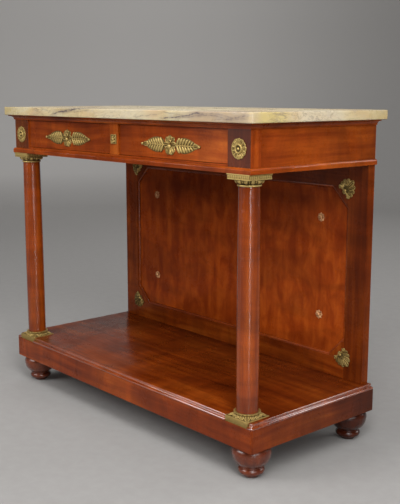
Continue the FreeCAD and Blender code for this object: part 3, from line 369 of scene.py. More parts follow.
# Clouds of other colours: middle along X and Y, reach, colour, strength
PATCHES = (
    (0.470, SLAB_LOW.y, 0.20, (0.37, 0.255, 0.165), 0.75),
    (SLAB_LOW.x, SLAB_LOW.y, 0.10, (0.38, 0.28, 0.10), 0.7),
    (SLAB_HIGH.x, -0.185, 0.08, (0.56, 0.45, 0.15), 0.6),
    (SLAB_HIGH.x, SLAB_HIGH.y, 0.09, (0.42, 0.31, 0.12), 0.5),
    (0.080, SLAB_LOW.y, 0.20, (0.55, 0.47, 0.33), 0.55),
    (SLAB_HIGH.x, -0.02, 0.13, (0.58, 0.50, 0.38), 0.6),
)
CLOUD_COLOURS = ((0.30, (0.50, 0.33, 0.18)), (0.40, (0.54, 0.40, 0.21)), (0.50, (0.57, 0.46, 0.26)),
                 (0.58, (0.59, 0.51, 0.33)), (0.70, (0.53, 0.40, 0.14)))
CLOUD_LEAN = (radians(20), radians(-20), radians(24))
SPECKLE_COLOUR = (0.45, 0.38, 0.30)
# Fine veins: scale, width, colour, strength
FINE_VEINS = ((22.0, 0.016, (0.16, 0.12, 0.11), 0.55), (46.0, 0.022, (0.30, 0.21, 0.13), 0.5))
VEIN_SKEW = 0.35
VEIN_LEAN = radians(9)
VEIN_FADE = 0.16
VEIN_GREY = (0.085, 0.065, 0.075)
HALO_WIDTH = 5.0
HALO_SHARE = 0.3


def marble_finish():
    """Cream marble clouded with ochre, rose and grey, crossed by long grey-violet veins."""
    material, tree, shader, place = new_material(
        "veined_marble", Coat_Weight=0.1, Coat_Roughness=0.2, IOR=1.5, Specular_IOR_Level=0.35)
    leaning = stretched(tree, place, (0.6, 0.9, 1.6), CLOUD_LEAN)
    clouds = noise(tree, leaning, 5.5, detail=5.0, roughness=0.55, distortion=0.9)
    colour = ramp(tree, clouds, CLOUD_COLOURS)
    edges = unevenness(tree, place, 18.0, 0.09, detail=4.0)
    for x, y, reach, patch, strength in PATCHES:
        ends = {0: place, 1: (x, y, SLAB_MIDDLE)}
        away = add(tree, "ShaderNodeVectorMath", ends, operation="DISTANCE").outputs[1]
        near = remap(tree, plus(tree, away, edges), reach * 0.3, reach, strength, 0.0)
        colour = tint(tree, near, colour, rgb(*patch))
    speckle = noise(tree, leaning, 38.0, detail=4.0, roughness=0.65)
    colour = tint(tree, remap(tree, speckle, 0.50, 0.72, 0.0, 0.5), colour, rgb(*SPECKLE_COLOUR))
    layered = stretched(tree, stretched(tree, place, (1, 1, 1), (0, VEIN_LEAN, 0)), (0.2, 0.35, 1.0))
    where = remap(tree, noise(tree, place, 4.2, detail=2.0), 0.42, 0.62)
    for scale, width, shade, strength in FINE_VEINS:
        field = noise(tree, layered, scale, detail=6.0, roughness=0.6, distortion=0.5)
        ridge = calc(tree, "ABSOLUTE", minus(tree, field, 0.5))
        vein = remap(tree, ridge, 0.0, width, 1.0, 0.0)
        there = times(tree, times(tree, vein, where), strength)
        colour = tint(tree, there, colour, rgb(*shade))
    axes = add(tree, "ShaderNodeSeparateXYZ", {0: place}).outputs
    skew = times(tree, minus(tree, axes["Y"], SLAB_LOW.y), VEIN_SKEW)
    along = plus(tree, axes["X"], skew)
    height = plus(tree, axes["Z"], unevenness(tree, place, 26.0, 0.016, detail=5.0))
    faded = remap(tree, skew, 0.0, VEIN_SKEW * VEIN_FADE, 1.0, 0.12)
    gaps = remap(tree, noise(tree, place, 110.0, detail=3.0), 0.38, 0.55, 0.15, 1.0)
    broken = times(tree, faded, gaps)
    for x, z, rise, half_length, half_width, strength in MAIN_VEINS:
        reach = minus(tree, along, x)
        off = calc(tree, "ABSOLUTE", minus(tree, minus(tree, height, z), times(tree, reach, rise)))
        span = remap(tree, calc(tree, "ABSOLUTE", reach), half_length * 0.6, half_length, 1.0, 0.0)
        halo = (half_width * HALO_WIDTH, strength * HALO_SHARE, faded)
        for width, share, dashes in (halo, (half_width, strength, broken)):
            line = remap(tree, off, 0.0, width, share, 0.0)
            there = times(tree, times(tree, line, span), dashes)
            colour = tint(tree, there, colour, rgb(*VEIN_GREY))
    smears = use(tree, SMEARS, {"Place": place, "Scale": 14.0}).outputs["Dullness"]
    wire(tree, shader, Base_Color=colour, Roughness=remap(tree, smears, 0.0, 1.0, 0.26, 0.40))
    return material


RELIEF_STOPS = (0.02, 0.30, 0.58, 0.95)
GILT_COLOURS = ((0.070, 0.045, 0.013), (0.17, 0.112, 0.033), (0.32, 0.215, 0.066), (0.49, 0.345, 0.118))
RUBBED_COLOURS = ((0.16, 0.074, 0.031), (0.36, 0.170, 0.073), (0.54, 0.268, 0.120), (0.66, 0.352, 0.165))


def bronze_finish(name, colours):
    """Fire-gilt bronze: bright on its crests, brown-green with old wax and tarnish in its hollows."""
    material, tree, shader, place = new_material(name, Metallic=0.6, Specular_IOR_Level=0.3)
    stain = unevenness(tree, place, 120.0, 0.4, detail=4.0, roughness=0.6)
    height = plus(tree, attribute(tree, "relief"), stain)
    colour = ramp(tree, height, list(zip(RELIEF_STOPS, colours)))
    smears = use(tree, SMEARS, {"Place": place, "Scale": 60.0}).outputs["Dullness"]
    rough = plus(tree, remap(tree, height, 0.1, 0.9, 0.58, 0.40), times(tree, smears, 0.1))
    pitted = noise(tree, place, 900.0, detail=2.0)
    wire(tree, shader, Base_Color=colour, Roughness=rough, Normal=bump(tree, pitted, 0.2, 0.12 * MM))
    return material


STEEL_COLOURS = ((0.3, (0.26, 0.25, 0.24)), (0.7, (0.46, 0.45, 0.43)))
RUST_COLOUR = (0.16, 0.075, 0.035)


def steel_finish():
    """Filed lock steel with a fine scratch and a little rust."""
    material, tree, shader, place = new_material("lock_steel", Metallic=1.0)
    scratch = noise(tree, stretched(tree, place, (0.03, 1.0, 1.0)), 1800.0, detail=2.0)
    rust = remap(tree, noise(tree, place, 160.0, detail=5.0, roughness=0.7), 0.56, 0.72)
    colour = tint(tree, rust, ramp(tree, scratch, STEEL_COLOURS), rgb(*RUST_COLOUR))
    wire(tree, shader, Base_Color=colour, Roughness=remap(tree, rust, 0.0, 1.0, 0.34, 0.75),
         Normal=bump(tree, scratch, 0.15, 0.05 * MM))
    return material


FLOOR_GREYS = ((0.35, (0.315, 0.305, 0.295)), (0.65, (0.335, 0.325, 0.315)))
# Painted light: the far wall, and the floor before it, are painted lighter than the rest of the paper
FAR_WALL_PAINTED_LIGHT = (0.52, 0.505, 0.49)
WALL_GREY = (0.32, 0.31, 0.30)
UNLIT_GREY = (0.26, 0.26, 0.26)


def floor_finish():
    """Seamless studio paper, faintly mottled: lighter where it rises, with painted light on the far wall,
    and grey where the studio is unlit, as painted shade.
    """
    material, tree, shader, place = new_material("studio_paper", Specular_IOR_Level=0.1)
    fibre = noise(tree, place, 30.0, detail=6.0, roughness=0.6)
    floor = ramp(tree, fibre, FLOOR_GREYS)
    axes = add(tree, "ShaderNodeSeparateXYZ", {0: place}).outputs
    far = remap(tree, axes["X"], -2.0, -4.6, 0.0, 0.4)
    risen = plus(tree, remap(tree, axes["Z"], 0.0, 0.4), far, clamp=True)
    wall = tint(tree, remap(tree, axes["X"], -5.4, -3.0), rgb(*FAR_WALL_PAINTED_LIGHT), rgb(*WALL_GREY))
    paper = tint(tree, risen, floor, wall)
    unlit = remap(tree, axes["Y"], -2.4, -4.6)
    colour = tint(tree, unlit, paper, rgb(*UNLIT_GREY))
    wire(tree, shader, Base_Color=colour, Roughness=remap(tree, fibre, 0.3, 0.7, 0.75, 0.85))
    return material


# Pieces taken over from the frame: welded copies with eased arrises and their own board number

SHAFT_SIDES = 96
PLAIN_STAIN_AND_SHADE = (1.0, 1.0)
boards = []


def both(*names):
    """The left and right names of paired pieces."""
    return [f"{name}_{side}" for name in names for side in SIDES]


def put_in_scene(name, data):
    """A new object, linked to the scene."""
    made = bpy.data.objects.new(name, data)
    bpy.context.scene.collection.objects.link(made)
    return made


def piece(node, mesh, material):
    """Show a mesh in the place of a node, on the body that carries the node."""
    shown = put_in_scene(mesh.name, mesh)
    mesh.materials.clear()
    mesh.materials.append(material)
    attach(shown, frame["nodes"][node]["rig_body"])
    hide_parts(node)


def set_value(mesh, name, values):
    """Store one number per point of a mesh."""
    layer = mesh.attributes.get(name) or mesh.attributes.new(name, "FLOAT", "POINT")
    layer.data.foreach_set("value", np.asarray(values, np.float32))


def welded(node):
    """A node's mesh as one joined surface with its flat faces whole."""
    form = bmesh.new()
    form.from_mesh(frame["nodes"][node].data)
    bmesh.ops.remove_doubles(form, verts=form.verts, dist=WELD)
    bmesh.ops.dissolve_limit(form, angle_limit=FLAT_ANGLE, verts=form.verts, edges=form.edges)
    return form


def rings(profile, sides):
    """Rings of corners about Z, one at each (radius, height) point of a profile."""
    turns = [2 * pi * index / sides for index in range(sides)]
    return [[(radius * cos(turn), radius * sin(turn), height) for turn in turns]
            for radius, height, *_ in profile]


def spun(profile, sides, ends=True):
    """A form spun about Z from (radius, height) points."""
    form = bmesh.new()
    loops = [[form.verts.new(corner) for corner in ring] for ring in rings(profile, sides)]
    for low, high in zip(loops, loops[1:]):
        for index in range(sides):
            after = (index + 1) % sides
            form.faces.new((low[index], low[after], high[after], high[index]))
    if ends:
        form.faces.new(loops[0][::-1])
        form.faces.new(loops[-1])
    return form


def turned_shaft(node):
    """A column's own outline, level by level, spun again with finer sides."""
    low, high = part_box(node)
    centre = (low + high) / 2
    levels = {}
    for point in frame["nodes"][node].data.vertices:
        reach = hypot(point.co.x - centre.x, point.co.y - centre.y)
        levels.setdefault(round(point.co.z / MM, 1), []).append(reach)
    outline = []
    for level in sorted(levels):
        height, tenon, shoulder = level * MM, min(levels[level]), max(levels[level])
        radii = [tenon, shoulder] if shoulder - tenon > MM else [shoulder]
        outline += [(radius, height) for radius in (radii if height < centre.z else radii[::-1])]
    form = spun(outline, SHAFT_SIDES)
    bmesh.ops.translate(form, verts=form.verts, vec=(centre.x, centre.y, 0.0))
    return form


def in_first_part(node, mesh):
    """Which points of a board take its first stain, painted shade and light, and wax: the shelf's top, the
    panel's upper half, the front half of a side and the front face of any other board."""
    low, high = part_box(node)
    centre = (low + high) / 2
    points = [point.co for point in mesh.vertices]
    if node == "plinth_shelf":
        return [point.z > high.z - WELD for point in points]
    if node == "back_panel":
        return [point.z > centre.z for point in points]
    if "_side_" in node:
        return [point.y < centre.y for point in points]
    return [point.y < low.y + WELD for point in points]


def board(node, material, ease=0.0, smooth=False, wax=0.0):
    """Show a node as a wooden board with its arrises rubbed round, or with its curves smooth."""
    form = turned_shaft(node) if node in both("column") else welded(node)
    if ease:
        arrises = [edge for edge in form.edges
                   if len(edge.link_faces) == 2 and edge.calc_face_angle() > ARRIS_ANGLE]
        bmesh.ops.bevel(form, geom=arrises, offset=ease, segments=2, profile=0.5, affect="EDGES",
                        clamp_overlap=False)
    bmesh.ops.triangulate(form, faces=form.faces)
    mesh = bpy.data.meshes.new(f"{node}_polished")
    form.to_mesh(mesh)
    form.free()
    if smooth:
        mesh.shade_smooth()
        mesh.set_sharp_from_angle(angle=CREASE_ANGLE)
    boards.append(node)
    set_value(mesh, "board", [float(len(boards))] * len(mesh.vertices))
    first_part = in_first_part(node, mesh)
    # The first number scales the colour: stain together with painted shade and light
    finishes = {"stain": STAIN_AND_SHADE.get(node, PLAIN_STAIN_AND_SHADE), "wax": WAX.get(node, (wax, wax))}
    for label, (on_first, on_rest) in finishes.items():
        set_value(mesh, label, [on_first if first else on_rest for first in first_part])
    piece(node, mesh, material)


def for_both(rows):
    """Rows for paired pieces, given to the left and the right one."""
    return {node: row for name, row in rows.items() for node in both(name)}


EASED = {
    "x": ["frieze_bottom_rail", "back_top_rail", "back_bottom_rail", "plinth_front"] + both("drawer_front"),
    "y": both("frieze_side", "plinth_side"),
    "z": ["frieze_centre_stile", "back_panel", "back_spandrels"] + both("frieze_post", "back_stile"),
}
MOULDED = {
    "x": ["cornice_front", "frieze_band_front", "back_field_bead"],
    "y": both("cornice", "frieze_band"),
}
# Stain together with painted shade and light, on the first part and on the rest of a board. Painted shade
# darkens the panel's upper half, the top rail, the back halves of the sides and the back feet. Painted
# light brightens the post sides and the front halves of the frieze sides. The other numbers make boards
# darker or lighter.
STAIN_AND_SHADE = {
    "back_stile_left": (0.65, 0.75), "back_stile_right": (0.51, 0.70), "back_panel": (0.92, 1.0),
    "back_field_bead": (0.9, 0.9), "back_top_rail": (0.52, 0.52), "back_bottom_rail": (0.6, 0.6),
    "back_spandrels": (0.62, 0.62), "plinth_shelf": (0.66, 1.0), "drawer_front_right": (1.2, 1.2),
    "frieze_centre_stile": (0.88, 0.88),
    **for_both({"frieze_post": (0.42, 1.3), "frieze_side": (1.24, 0.72), "plinth_side": (0.84, 0.36),
                "column": (0.93, 0.93), "foot_back": (0.5, 0.5)}),
}
# Wax on the first part and on the rest of a board
WAX = {
    "plinth_shelf": (0.06, 1.0), "plinth_front": (0.28, 0.28), "back_field_bead": (0.7, 0.7),
    "back_panel": (0.02, 0.05), "back_spandrels": (0.05, 0.05), "back_top_rail": (0.05, 0.05),
    "back_bottom_rail": (0.10, 0.10), "drawer_front_left": (0.2, 0.2), "drawer_front_right": (0.3, 0.3),
    **for_both({"back_stile": (0.05, 0.05), "plinth_side": (0.30, 0.30), "frieze_post": (0.60, 0.45),
                "frieze_side": (0.28, 0.14), "foot_back": (0.35, 0.35)}),
}
BOARD_WAX = 0.14
MOULDING_WAX = 0.25
FOOT_WAX = 0.75
OAK_BOARDS = {
    "x": ["frieze_top_rail", "frieze_back_rail", "plinth_back"] + both("drawer_back", "drawer_bottom"),
    "y": ["drawer_runners", "drawer_kickers"] + both("drawer_inner_side", "drawer_outer_side"),
    "z": ["plinth_corner_blocks"],
}
ARRIS = 0.6 * MM
OAK_ARRIS = 0.9 * MM
SHELF_ARRIS = 1.4 * MM
LOCK_ARRIS = 0.4 * MM


def woodwork():
    """Show every board, the turned pieces, the marble slab and the locks."""
    flamed = panel_mahogany()
    for along in "xyz":
        polished, plain = mahogany(along), oak(along)
        for node in EASED[along]:
            figured = flamed if node == "back_panel" else polished
            board(node, figured, ARRIS, wax=BOARD_WAX)
        for node in MOULDED.get(along, []):
            board(node, polished, smooth=True, wax=MOULDING_WAX)
        for node in OAK_BOARDS[along]:
            board(node, plain, OAK_ARRIS)
    board("plinth_shelf", shelf_mahogany(), SHELF_ARRIS, smooth=True)
    turned = column_mahogany()
    for node in both("column"):
        board(node, turned, smooth=True)
    dark = foot_mahogany()
    for node in both("foot_front", "foot_back"):
        board(node, dark, smooth=True, wax=FOOT_WAX)
    board("marble_top", marble_finish(), smooth=True)
    steel = steel_finish()
    for node in both("lock_case", "lock_bolt"):
        board(node, steel, LOCK_ARRIS)


woodwork()


# Cast bronze: forms lie along X with Y across and Z out of the ground, in millimetres

GUTTER = ((1.0, 0.0, 0.15), (0.86, 0.66, 0.85), (0.68, 0.78, 1.0), (0.36, 0.32, 0.08), (0.13, 0.60, 0.45),
          (0.0, 0.95, 0.9))
ROUND = ((1.0, 0.0, 0.05), (0.92, 0.40, 0.35), (0.74, 0.68, 0.7), (0.48, 0.88, 0.95), (0.2, 0.98, 1.0),
         (0.0, 1.0, 1.0))
HOLLOW = ((1.0, 0.0, 0.15), (0.9, 0.8, 0.32), (0.7, 0.9, 0.2), (0.4, 0.9, 0.12), (0.2, 1.0, 0.1),
          (0.0, 1.0, 0.1))
LEAF_STEPS = 12
LEAF_TIP = 0.03
LEAF_END_SWELL = 0.55
LEAF_MIDDLE_SWELL = 0.45
SCROLL_STEPS = 36
SCROLL_SIDES = 8
SCROLL_DRAWN_IN = 0.82
SCROLL_THINNED = 0.45
KNOB_SIDES = 32
SHELL_SIDES = 40
BELL_SIDES = 72
CAST_CREASE = radians(58)


def loft(name, loops, reliefs, ring=False):
    """A closed skin through loops of equal count; a ring joins its last loop to its first."""
    count, rows = len(loops[0]), len(loops)
    faces = [tuple(range(count))[::-1], tuple(range((rows - 1) * count, rows * count))]
    if ring:
        faces = []
    for row in range(rows if ring else rows - 1):
        here, there = row * count, (row + 1) % rows * count
        for index in range(count):
            after = (index + 1) % count
            faces.append((here + index, here + after, there + after, there + index))
    mesh = bpy.data.meshes.new(name)
    mesh.from_pydata([corner for loop in loops for corner in loop], [], faces)
    set_value(mesh, "relief", [value for loop in reliefs for value in loop])
    return mesh


def on_curve(t, a, b, c, d):
    """A value between b and c on a smooth curve that comes from a and goes on to d."""
    bend = (2 * a - 5 * b + 4 * c - d) * t ** 2
    swing = (3 * b - a - 3 * c + d) * t ** 3
    return 0.5 * (2 * b + (c - a) * t + bend + swing)


def smooth_line(points, steps=4):
    """Points filled in along a smooth curve through those given."""
    ends = [points[0], *points, points[-1]]
    line = []
    for row in zip(ends, ends[1:], ends[2:], ends[3:]):
        for step in range(steps):
            line.append(tuple(on_curve(step / steps, *values) for values in zip(*row)))
    return line + [tuple(points[-1])]


def turned_form(name, profile, count=64):
    """A form spun about Z from (radius, height, relief) points, up from its ground."""
    line = smooth_line(profile)
    return loft(name, rings(line, count), [[relief] * count for _, _, relief in line])


def square_form(name, profile):
    """A square form from (half side, height, relief) points, up from its ground."""
    loops = [[(half, -half, height), (half, half, height), (-half, half, height), (-half, -half, height)]
             for half, height, _ in profile]
    return loft(name, loops, [[relief] * 4 for _, _, relief in profile])


def leaf_form(name, length, width, height, section=GUTTER, waist=0.3, broad=0.6, blunt=0.6):
    """A leaf from its stalk at the origin: narrow at the waist, widest at its broad share."""
    across = [*section, *[(-place, rise, relief) for place, rise, relief in section[-2::-1]]]
    loops, reliefs = [], []
    for step in range(LEAF_STEPS + 1):
        along = step / LEAF_STEPS
        if along < broad:
            share = waist + (1 - waist) * sin(pi / 2 * along / broad)
        else:
            share = max(cos(pi / 2 * (along - broad) / (1 - broad)), LEAF_TIP) ** blunt
        swell = min(share, LEAF_END_SWELL + LEAF_MIDDLE_SWELL * sin(pi * along))
        half = width / 2 * share
        top = [(length * along, half * place, height * swell * rise) for place, rise, _ in across]
        loops.append(top + [(length * along, -half * 0.5, 0.0), (length * along, half * 0.5, 0.0)])
        reliefs.append([relief for _, _, relief in across] + [0.0, 0.0])
    return loft(name, loops, reliefs)


def scroll_form(name, radius, width, turns=1.6):
    """A flat spiral scroll that winds inwards, round on its face."""
    corners = [2 * pi * side / SCROLL_SIDES for side in range(SCROLL_SIDES)]
    loops, reliefs = [], []
    for step in range(SCROLL_STEPS + 1):
        share = step / SCROLL_STEPS
        turn = share * turns * 2 * pi
        reach = (radius - width / 2) * (1 - SCROLL_DRAWN_IN * share)
        out = Vector((cos(turn), sin(turn), 0.0))
        half = width / 2 * (1 - SCROLL_THINNED * share)
        loops.append([tuple(out * (reach - half * cos(c)) + Vector((0, 0, half * (0.9 + sin(c)))))
                      for c in corners])
        reliefs.append([0.5 + 0.5 * sin(c) for c in corners])
    return loft(name, loops, reliefs)


def form_tree(name, count_name, count, *numbers):
    """A tree that repeats a form; returns it with its inputs, its output and each point's index."""
    tree, given, put = new_group(
        name, "GeometryNodeTree",
        [("Form", "NodeSocketObject", None), (count_name, "NodeSocketInt", count),
         ("Finish", "NodeSocketMaterial", None), *[(number, NUMBER, 0.0) for number in numbers]],
        [("Geometry", "NodeSocketGeometry")])
    return tree, given.outputs, put, add(tree, "GeometryNodeInputIndex").outputs[0]


def repeat_form(tree, values, put, count, place, heading=None, size=None):
    """End a tree: the form set at each place, realized and given its finish."""
    points = add(tree, "GeometryNodePoints", {"Count": count, "Position": place}).outputs[0]
    form = add(tree, "GeometryNodeObjectInfo", {"Object": values["Form"], "As Instance": True})
    inputs = {"Points": points, "Instance": form.outputs["Geometry"]}
    if heading:
        inputs["Rotation"] = add(tree, "FunctionNodeEulerToRotation", {0: heading}).outputs[0]
    if size:
        inputs["Scale"] = size
    spread = add(tree, "GeometryNodeInstanceOnPoints", inputs).outputs[0]
    real = add(tree, "GeometryNodeRealizeInstances", {0: spread}).outputs[0]
    done = add(tree, "GeometryNodeSetMaterial", {"Geometry": real, "Material": values["Finish"]})
    tree.links.new(done.outputs[0], put.inputs["Geometry"])


def fan_tree():
    """A form repeated round a centre: spread by a step, leaned, and shrunk towards the ends."""
    tree, values, put, index = form_tree(
        "Fan", "Count", 8, "Radius", "First", "Step", "Lean", "Lift", "Shrink")
    turn = plus(tree, values["First"], times(tree, values["Step"], index))
    out = times(tree, values["Radius"], calc(tree, "COSINE", turn))
    across = times(tree, values["Radius"], calc(tree, "SINE", turn))
    place = vector(tree, out, across, values["Lift"])
    halfway = times(tree, minus(tree, values["Count"], 1.0), 0.5)
    outward = calc(tree, "DIVIDE", calc(tree, "ABSOLUTE", minus(tree, index, halfway)), halfway)
    size = minus(tree, 1.0, times(tree, values["Shrink"], outward))
    heading = vector(tree, 0.0, values["Lean"], turn)
    repeat_form(tree, values, put, values["Count"], place, heading, size)
    return tree


def spray_tree():
    """Pairs of a form up both sides of a stem along X, changing in size and lean to the tip."""
    tree, values, put, index = form_tree(
        "Spray", "Pairs", 6, "Start", "Length", "First size", "Last size", "First lean", "Last lean",
        "Rise", "Fullness")
    pair = calc(tree, "FLOOR", times(tree, index, 0.5))
    side = minus(tree, 1.0, times(tree, calc(tree, "MODULO", index, 2.0), 2.0))
    along = calc(tree, "DIVIDE", pair, minus(tree, values["Pairs"], 1.0))
    late = calc(tree, "POWER", along, values["Fullness"])

    def between(first, last):
        """A value that changes slowly at first on its way to the tip."""
        span = minus(tree, values[last], values[first])
        return plus(tree, values[first], times(tree, span, late))

    reach = plus(tree, values["Start"], times(tree, values["Length"], along))
    lift = times(tree, values["Rise"], minus(tree, 1.0, along))
    place = vector(tree, reach, 0.0, lift)
    heading = vector(tree, 0.0, 0.0, times(tree, side, between("First lean", "Last lean")))
    count = times(tree, values["Pairs"], 2.0)
    repeat_form(tree, values, put, count, place, heading, between("First size", "Last size"))
    return tree


def row_tree():
    """A form repeated side by side across Y, centred."""
    tree, values, put, index = form_tree("Row", "Count", 8, "Pitch")
    halfway = times(tree, minus(tree, values["Count"], 1.0), 0.5)
    place = vector(tree, 0.0, times(tree, values["Pitch"], minus(tree, index, halfway)))
    repeat_form(tree, values, put, values["Count"], place)
    return tree


FAN, SPRAY, ROW = fan_tree(), spray_tree(), row_tree()
BRONZE = bronze_finish("gilt_bronze", GILT_COLOURS)
RUBBED_BRONZE = bronze_finish("rubbed_bronze", RUBBED_COLOURS)


def grown(tree, form, **inputs):
    """The plain mesh that a tree makes of a form with its named inputs."""
    source = put_in_scene(form.name, form)
    holder = put_in_scene(f"{form.name}_{tree.name}", bpy.data.meshes.new(form.name))
    grow = holder.modifiers.new(tree.name, "NODES")
    grow.node_group = tree
    given = {"Form": source, "Finish": BRONZE}
    given.update({name.replace("_", " "): value for name, value in inputs.items()})
    for socket in tree.interface.items_tree:
        if socket.in_out == "INPUT" and socket.name in given:
            grow[socket.identifier] = given[socket.name]
    depsgraph = bpy.context.evaluated_depsgraph_get()
    mesh = bpy.data.meshes.new_from_object(
        holder.evaluated_get(depsgraph), preserve_all_data_layers=True, depsgraph=depsgraph)
    bpy.data.objects.remove(holder)
    bpy.data.objects.remove(source)
    return mesh


def at(x=0.0, y=0.0, z=0.0, heading=0.0):
    """A place on the ground, turned about Z by degrees."""
    return Matrix.Translation((x, y, z)) @ Matrix.Rotation(radians(heading), 4, "Z")


def joined(name, parts):
    """One mesh in metres from (mesh, place) parts in millimetres.
    The faces of mirrored parts are turned right side out."""
    corners, faces, relief = [], [], []
    for mesh, place in parts:
        first = len(corners)
        corners += [place @ vertex.co * MM for vertex in mesh.vertices]
        turn = -1 if place.determinant() < 0 else 1
        faces += [[first + corner for corner in polygon.vertices][::turn] for polygon in mesh.polygons]
        relief += [item.value for item in mesh.attributes["relief"].data]
    whole = bpy.data.meshes.new(name)
    whole.from_pydata(corners, [], faces)
    set_value(whole, "relief", relief)
    whole.shade_smooth()
    whole.set_sharp_from_angle(angle=CAST_CREASE)
    return whole


def shaded_copies(parts, share):
    """Copies of parts painted in shade: their crests keep only a share of their brightness."""
    dulled = []
    for mesh, place in parts:
        copy = mesh.copy()
        set_value(copy, "relief", [item.value * share for item in mesh.attributes["relief"].data])
        dulled.append((copy, place))
    return dulled


def cast(node, parts, finish=BRONZE):
    """Show a bronze casting in the place of its node."""
    piece(node, joined(f"{node}_cast", parts), finish)


def cast_pair(name, right, brightness=1.0):
    """Show a casting at the right, and its mirror image at the left with a share of its brightness, as
    painted shade where the share is less than one.
    """
    cast(f"{name}_right", right)
    cast(f"{name}_left", moved(shaded_copies(right, brightness), MIRROR))


FACING_FRONT = Matrix.Rotation(radians(90), 4, "X")
MIRROR = Matrix.Scale(-1, 4, (1, 0, 0))
MIRROR_ACROSS = Matrix.Scale(-1, 4, (0, 1, 0))


def middle(node):
    """The middle of a node's box in the frame, in millimetres."""
    low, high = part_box(node)
    return (low + high) / 2 / MM


def lowest(node):
    """The left, front and bottom of a node's box in the frame, in millimetres."""
    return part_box(node)[0] / MM


POST_FRONT = lowest("frieze_post_right").y
DRAWER_FRONT = lowest("drawer_front_right").y
FRAME_FRONT = lowest("back_stile_right").y
PANEL_FRONT = lowest("back_panel").y
KEY_RISE = 9.5
KEYHOLE_RADIUS = 2.6
PALMETTE_X = 468.0
PALMETTE_HIGH = 697.0
PALMETTE_LOW = 231.0
STAR_X = 377.0
STAR_HIGH = 614.5
STAR_LOW = 329.0
# Painted shade: the left drawer mount and the lower corner palmettes keep only these shares of their
# crests' brightness
LEFT_MOUNT_SHADED_SHARE = 0.8
LOW_PALMETTE_SHADED_SHARE = 0.6


def on_front(x, height, depth=POST_FRONT):
    """The place of a casting that faces the front."""
    return Matrix.Translation((x, depth, height)) @ FACING_FRONT


def standing(node):
    """The place of a casting that stands up from the bottom of its node."""
    x, y, _ = middle(node)
    return Matrix.Translation((x, y, lowest(node).z))


def moved(parts, place):
    """Parts carried to a place."""
    return [(mesh, place @ own) for mesh, own in parts]


def mirrored(parts):
    """Parts with their mirror images across the middle."""
    return parts + moved(parts, MIRROR)


def centred(*meshes):
    """Parts that stay where they were made."""
    return [(mesh, at()) for mesh in meshes]


def knob_form(name, radius, height):
    """A round knob with a dark ring at its foot."""
    return turned_form(name, [
        (radius, 0.0, 0.0), (radius, height * 0.45, 0.4), (radius * 0.86, height * 0.75, 0.9),
        (radius * 0.5, height * 0.95, 1.0), (0.2, height, 1.0)], KNOB_SIDES)


def post_rosettes():
    """Twelve-petalled rosettes: scalloped rim, bright ring, dark recess and a knob."""
    ground = turned_form("rosette_ground", [
        (24.0, 0.0, 0.3), (24.6, 1.6, 0.6), (24.0, 2.6, 0.8), (22.6, 2.4, 0.6), (21.4, 1.6, 0.42),
        (14.0, 1.8, 0.42), (12.9, 2.6, 0.4), (12.2, 4.0, 0.8), (10.6, 5.0, 0.95), (9.0, 4.6, 0.8),
        (7.6, 3.0, 0.25), (6.6, 2.2, 0.05), (4.6, 2.0, 0.05), (3.6, 3.4, 0.5), (2.9, 5.0, 0.9),
        (1.4, 6.0, 1.0), (0.3, 6.2, 1.0)])
    petal = leaf_form("rosette_petal", 14.2, 12.4, 3.0, waist=0.5, broad=0.66, blunt=0.45)
    petals = grown(FAN, petal, Count=12, Radius=11.8, Step=radians(30), Lift=0.7)
    place = on_front(middle("frieze_post_right").x, middle("post_rosettes").z)
    cast("post_rosettes", mirrored(moved(centred(ground, petals), place)))


def centre_patera():
    """A square plaque with a raised border round an eight-petalled flower."""
    plaque = square_form("patera_plaque", [
        (13.0, 0.0, 0.2), (13.0, 2.0, 0.5), (12.5, 2.6, 0.65), (11.2, 2.6, 0.6), (10.6, 1.7, 0.3),
        (0.5, 1.7, 0.3)])
    petal = leaf_form("patera_petal", 8.2, 6.6, 3.0, waist=0.4)
    petals = grown(FAN, petal, Count=8, Radius=2.4, Step=radians(45), Lift=1.5)
    knob = knob_form("patera_knob", 3.2, 5.0)
    place = on_front(0.0, middle("centre_patera").z)
    cast("centre_patera", moved(centred(plaque, petals, knob), place))


def key_collar(hole):
    """A raised collar round the keyhole."""
    line = [(hole + 3.2, 0.0, 0.2), (hole + 3.2, 2.4, 0.5), (hole + 2.5, 4.6, 0.9), (hole + 1.2, 5.2, 1.0),
            (hole + 0.2, 4.4, 0.6), (hole, 3.2, 0.1), (hole, 0.0, 0.0)]
    reliefs = [[relief] * KNOB_SIDES for _, _, relief in line]
    return loft("key_collar", rings(line, KNOB_SIDES), reliefs, ring=True)


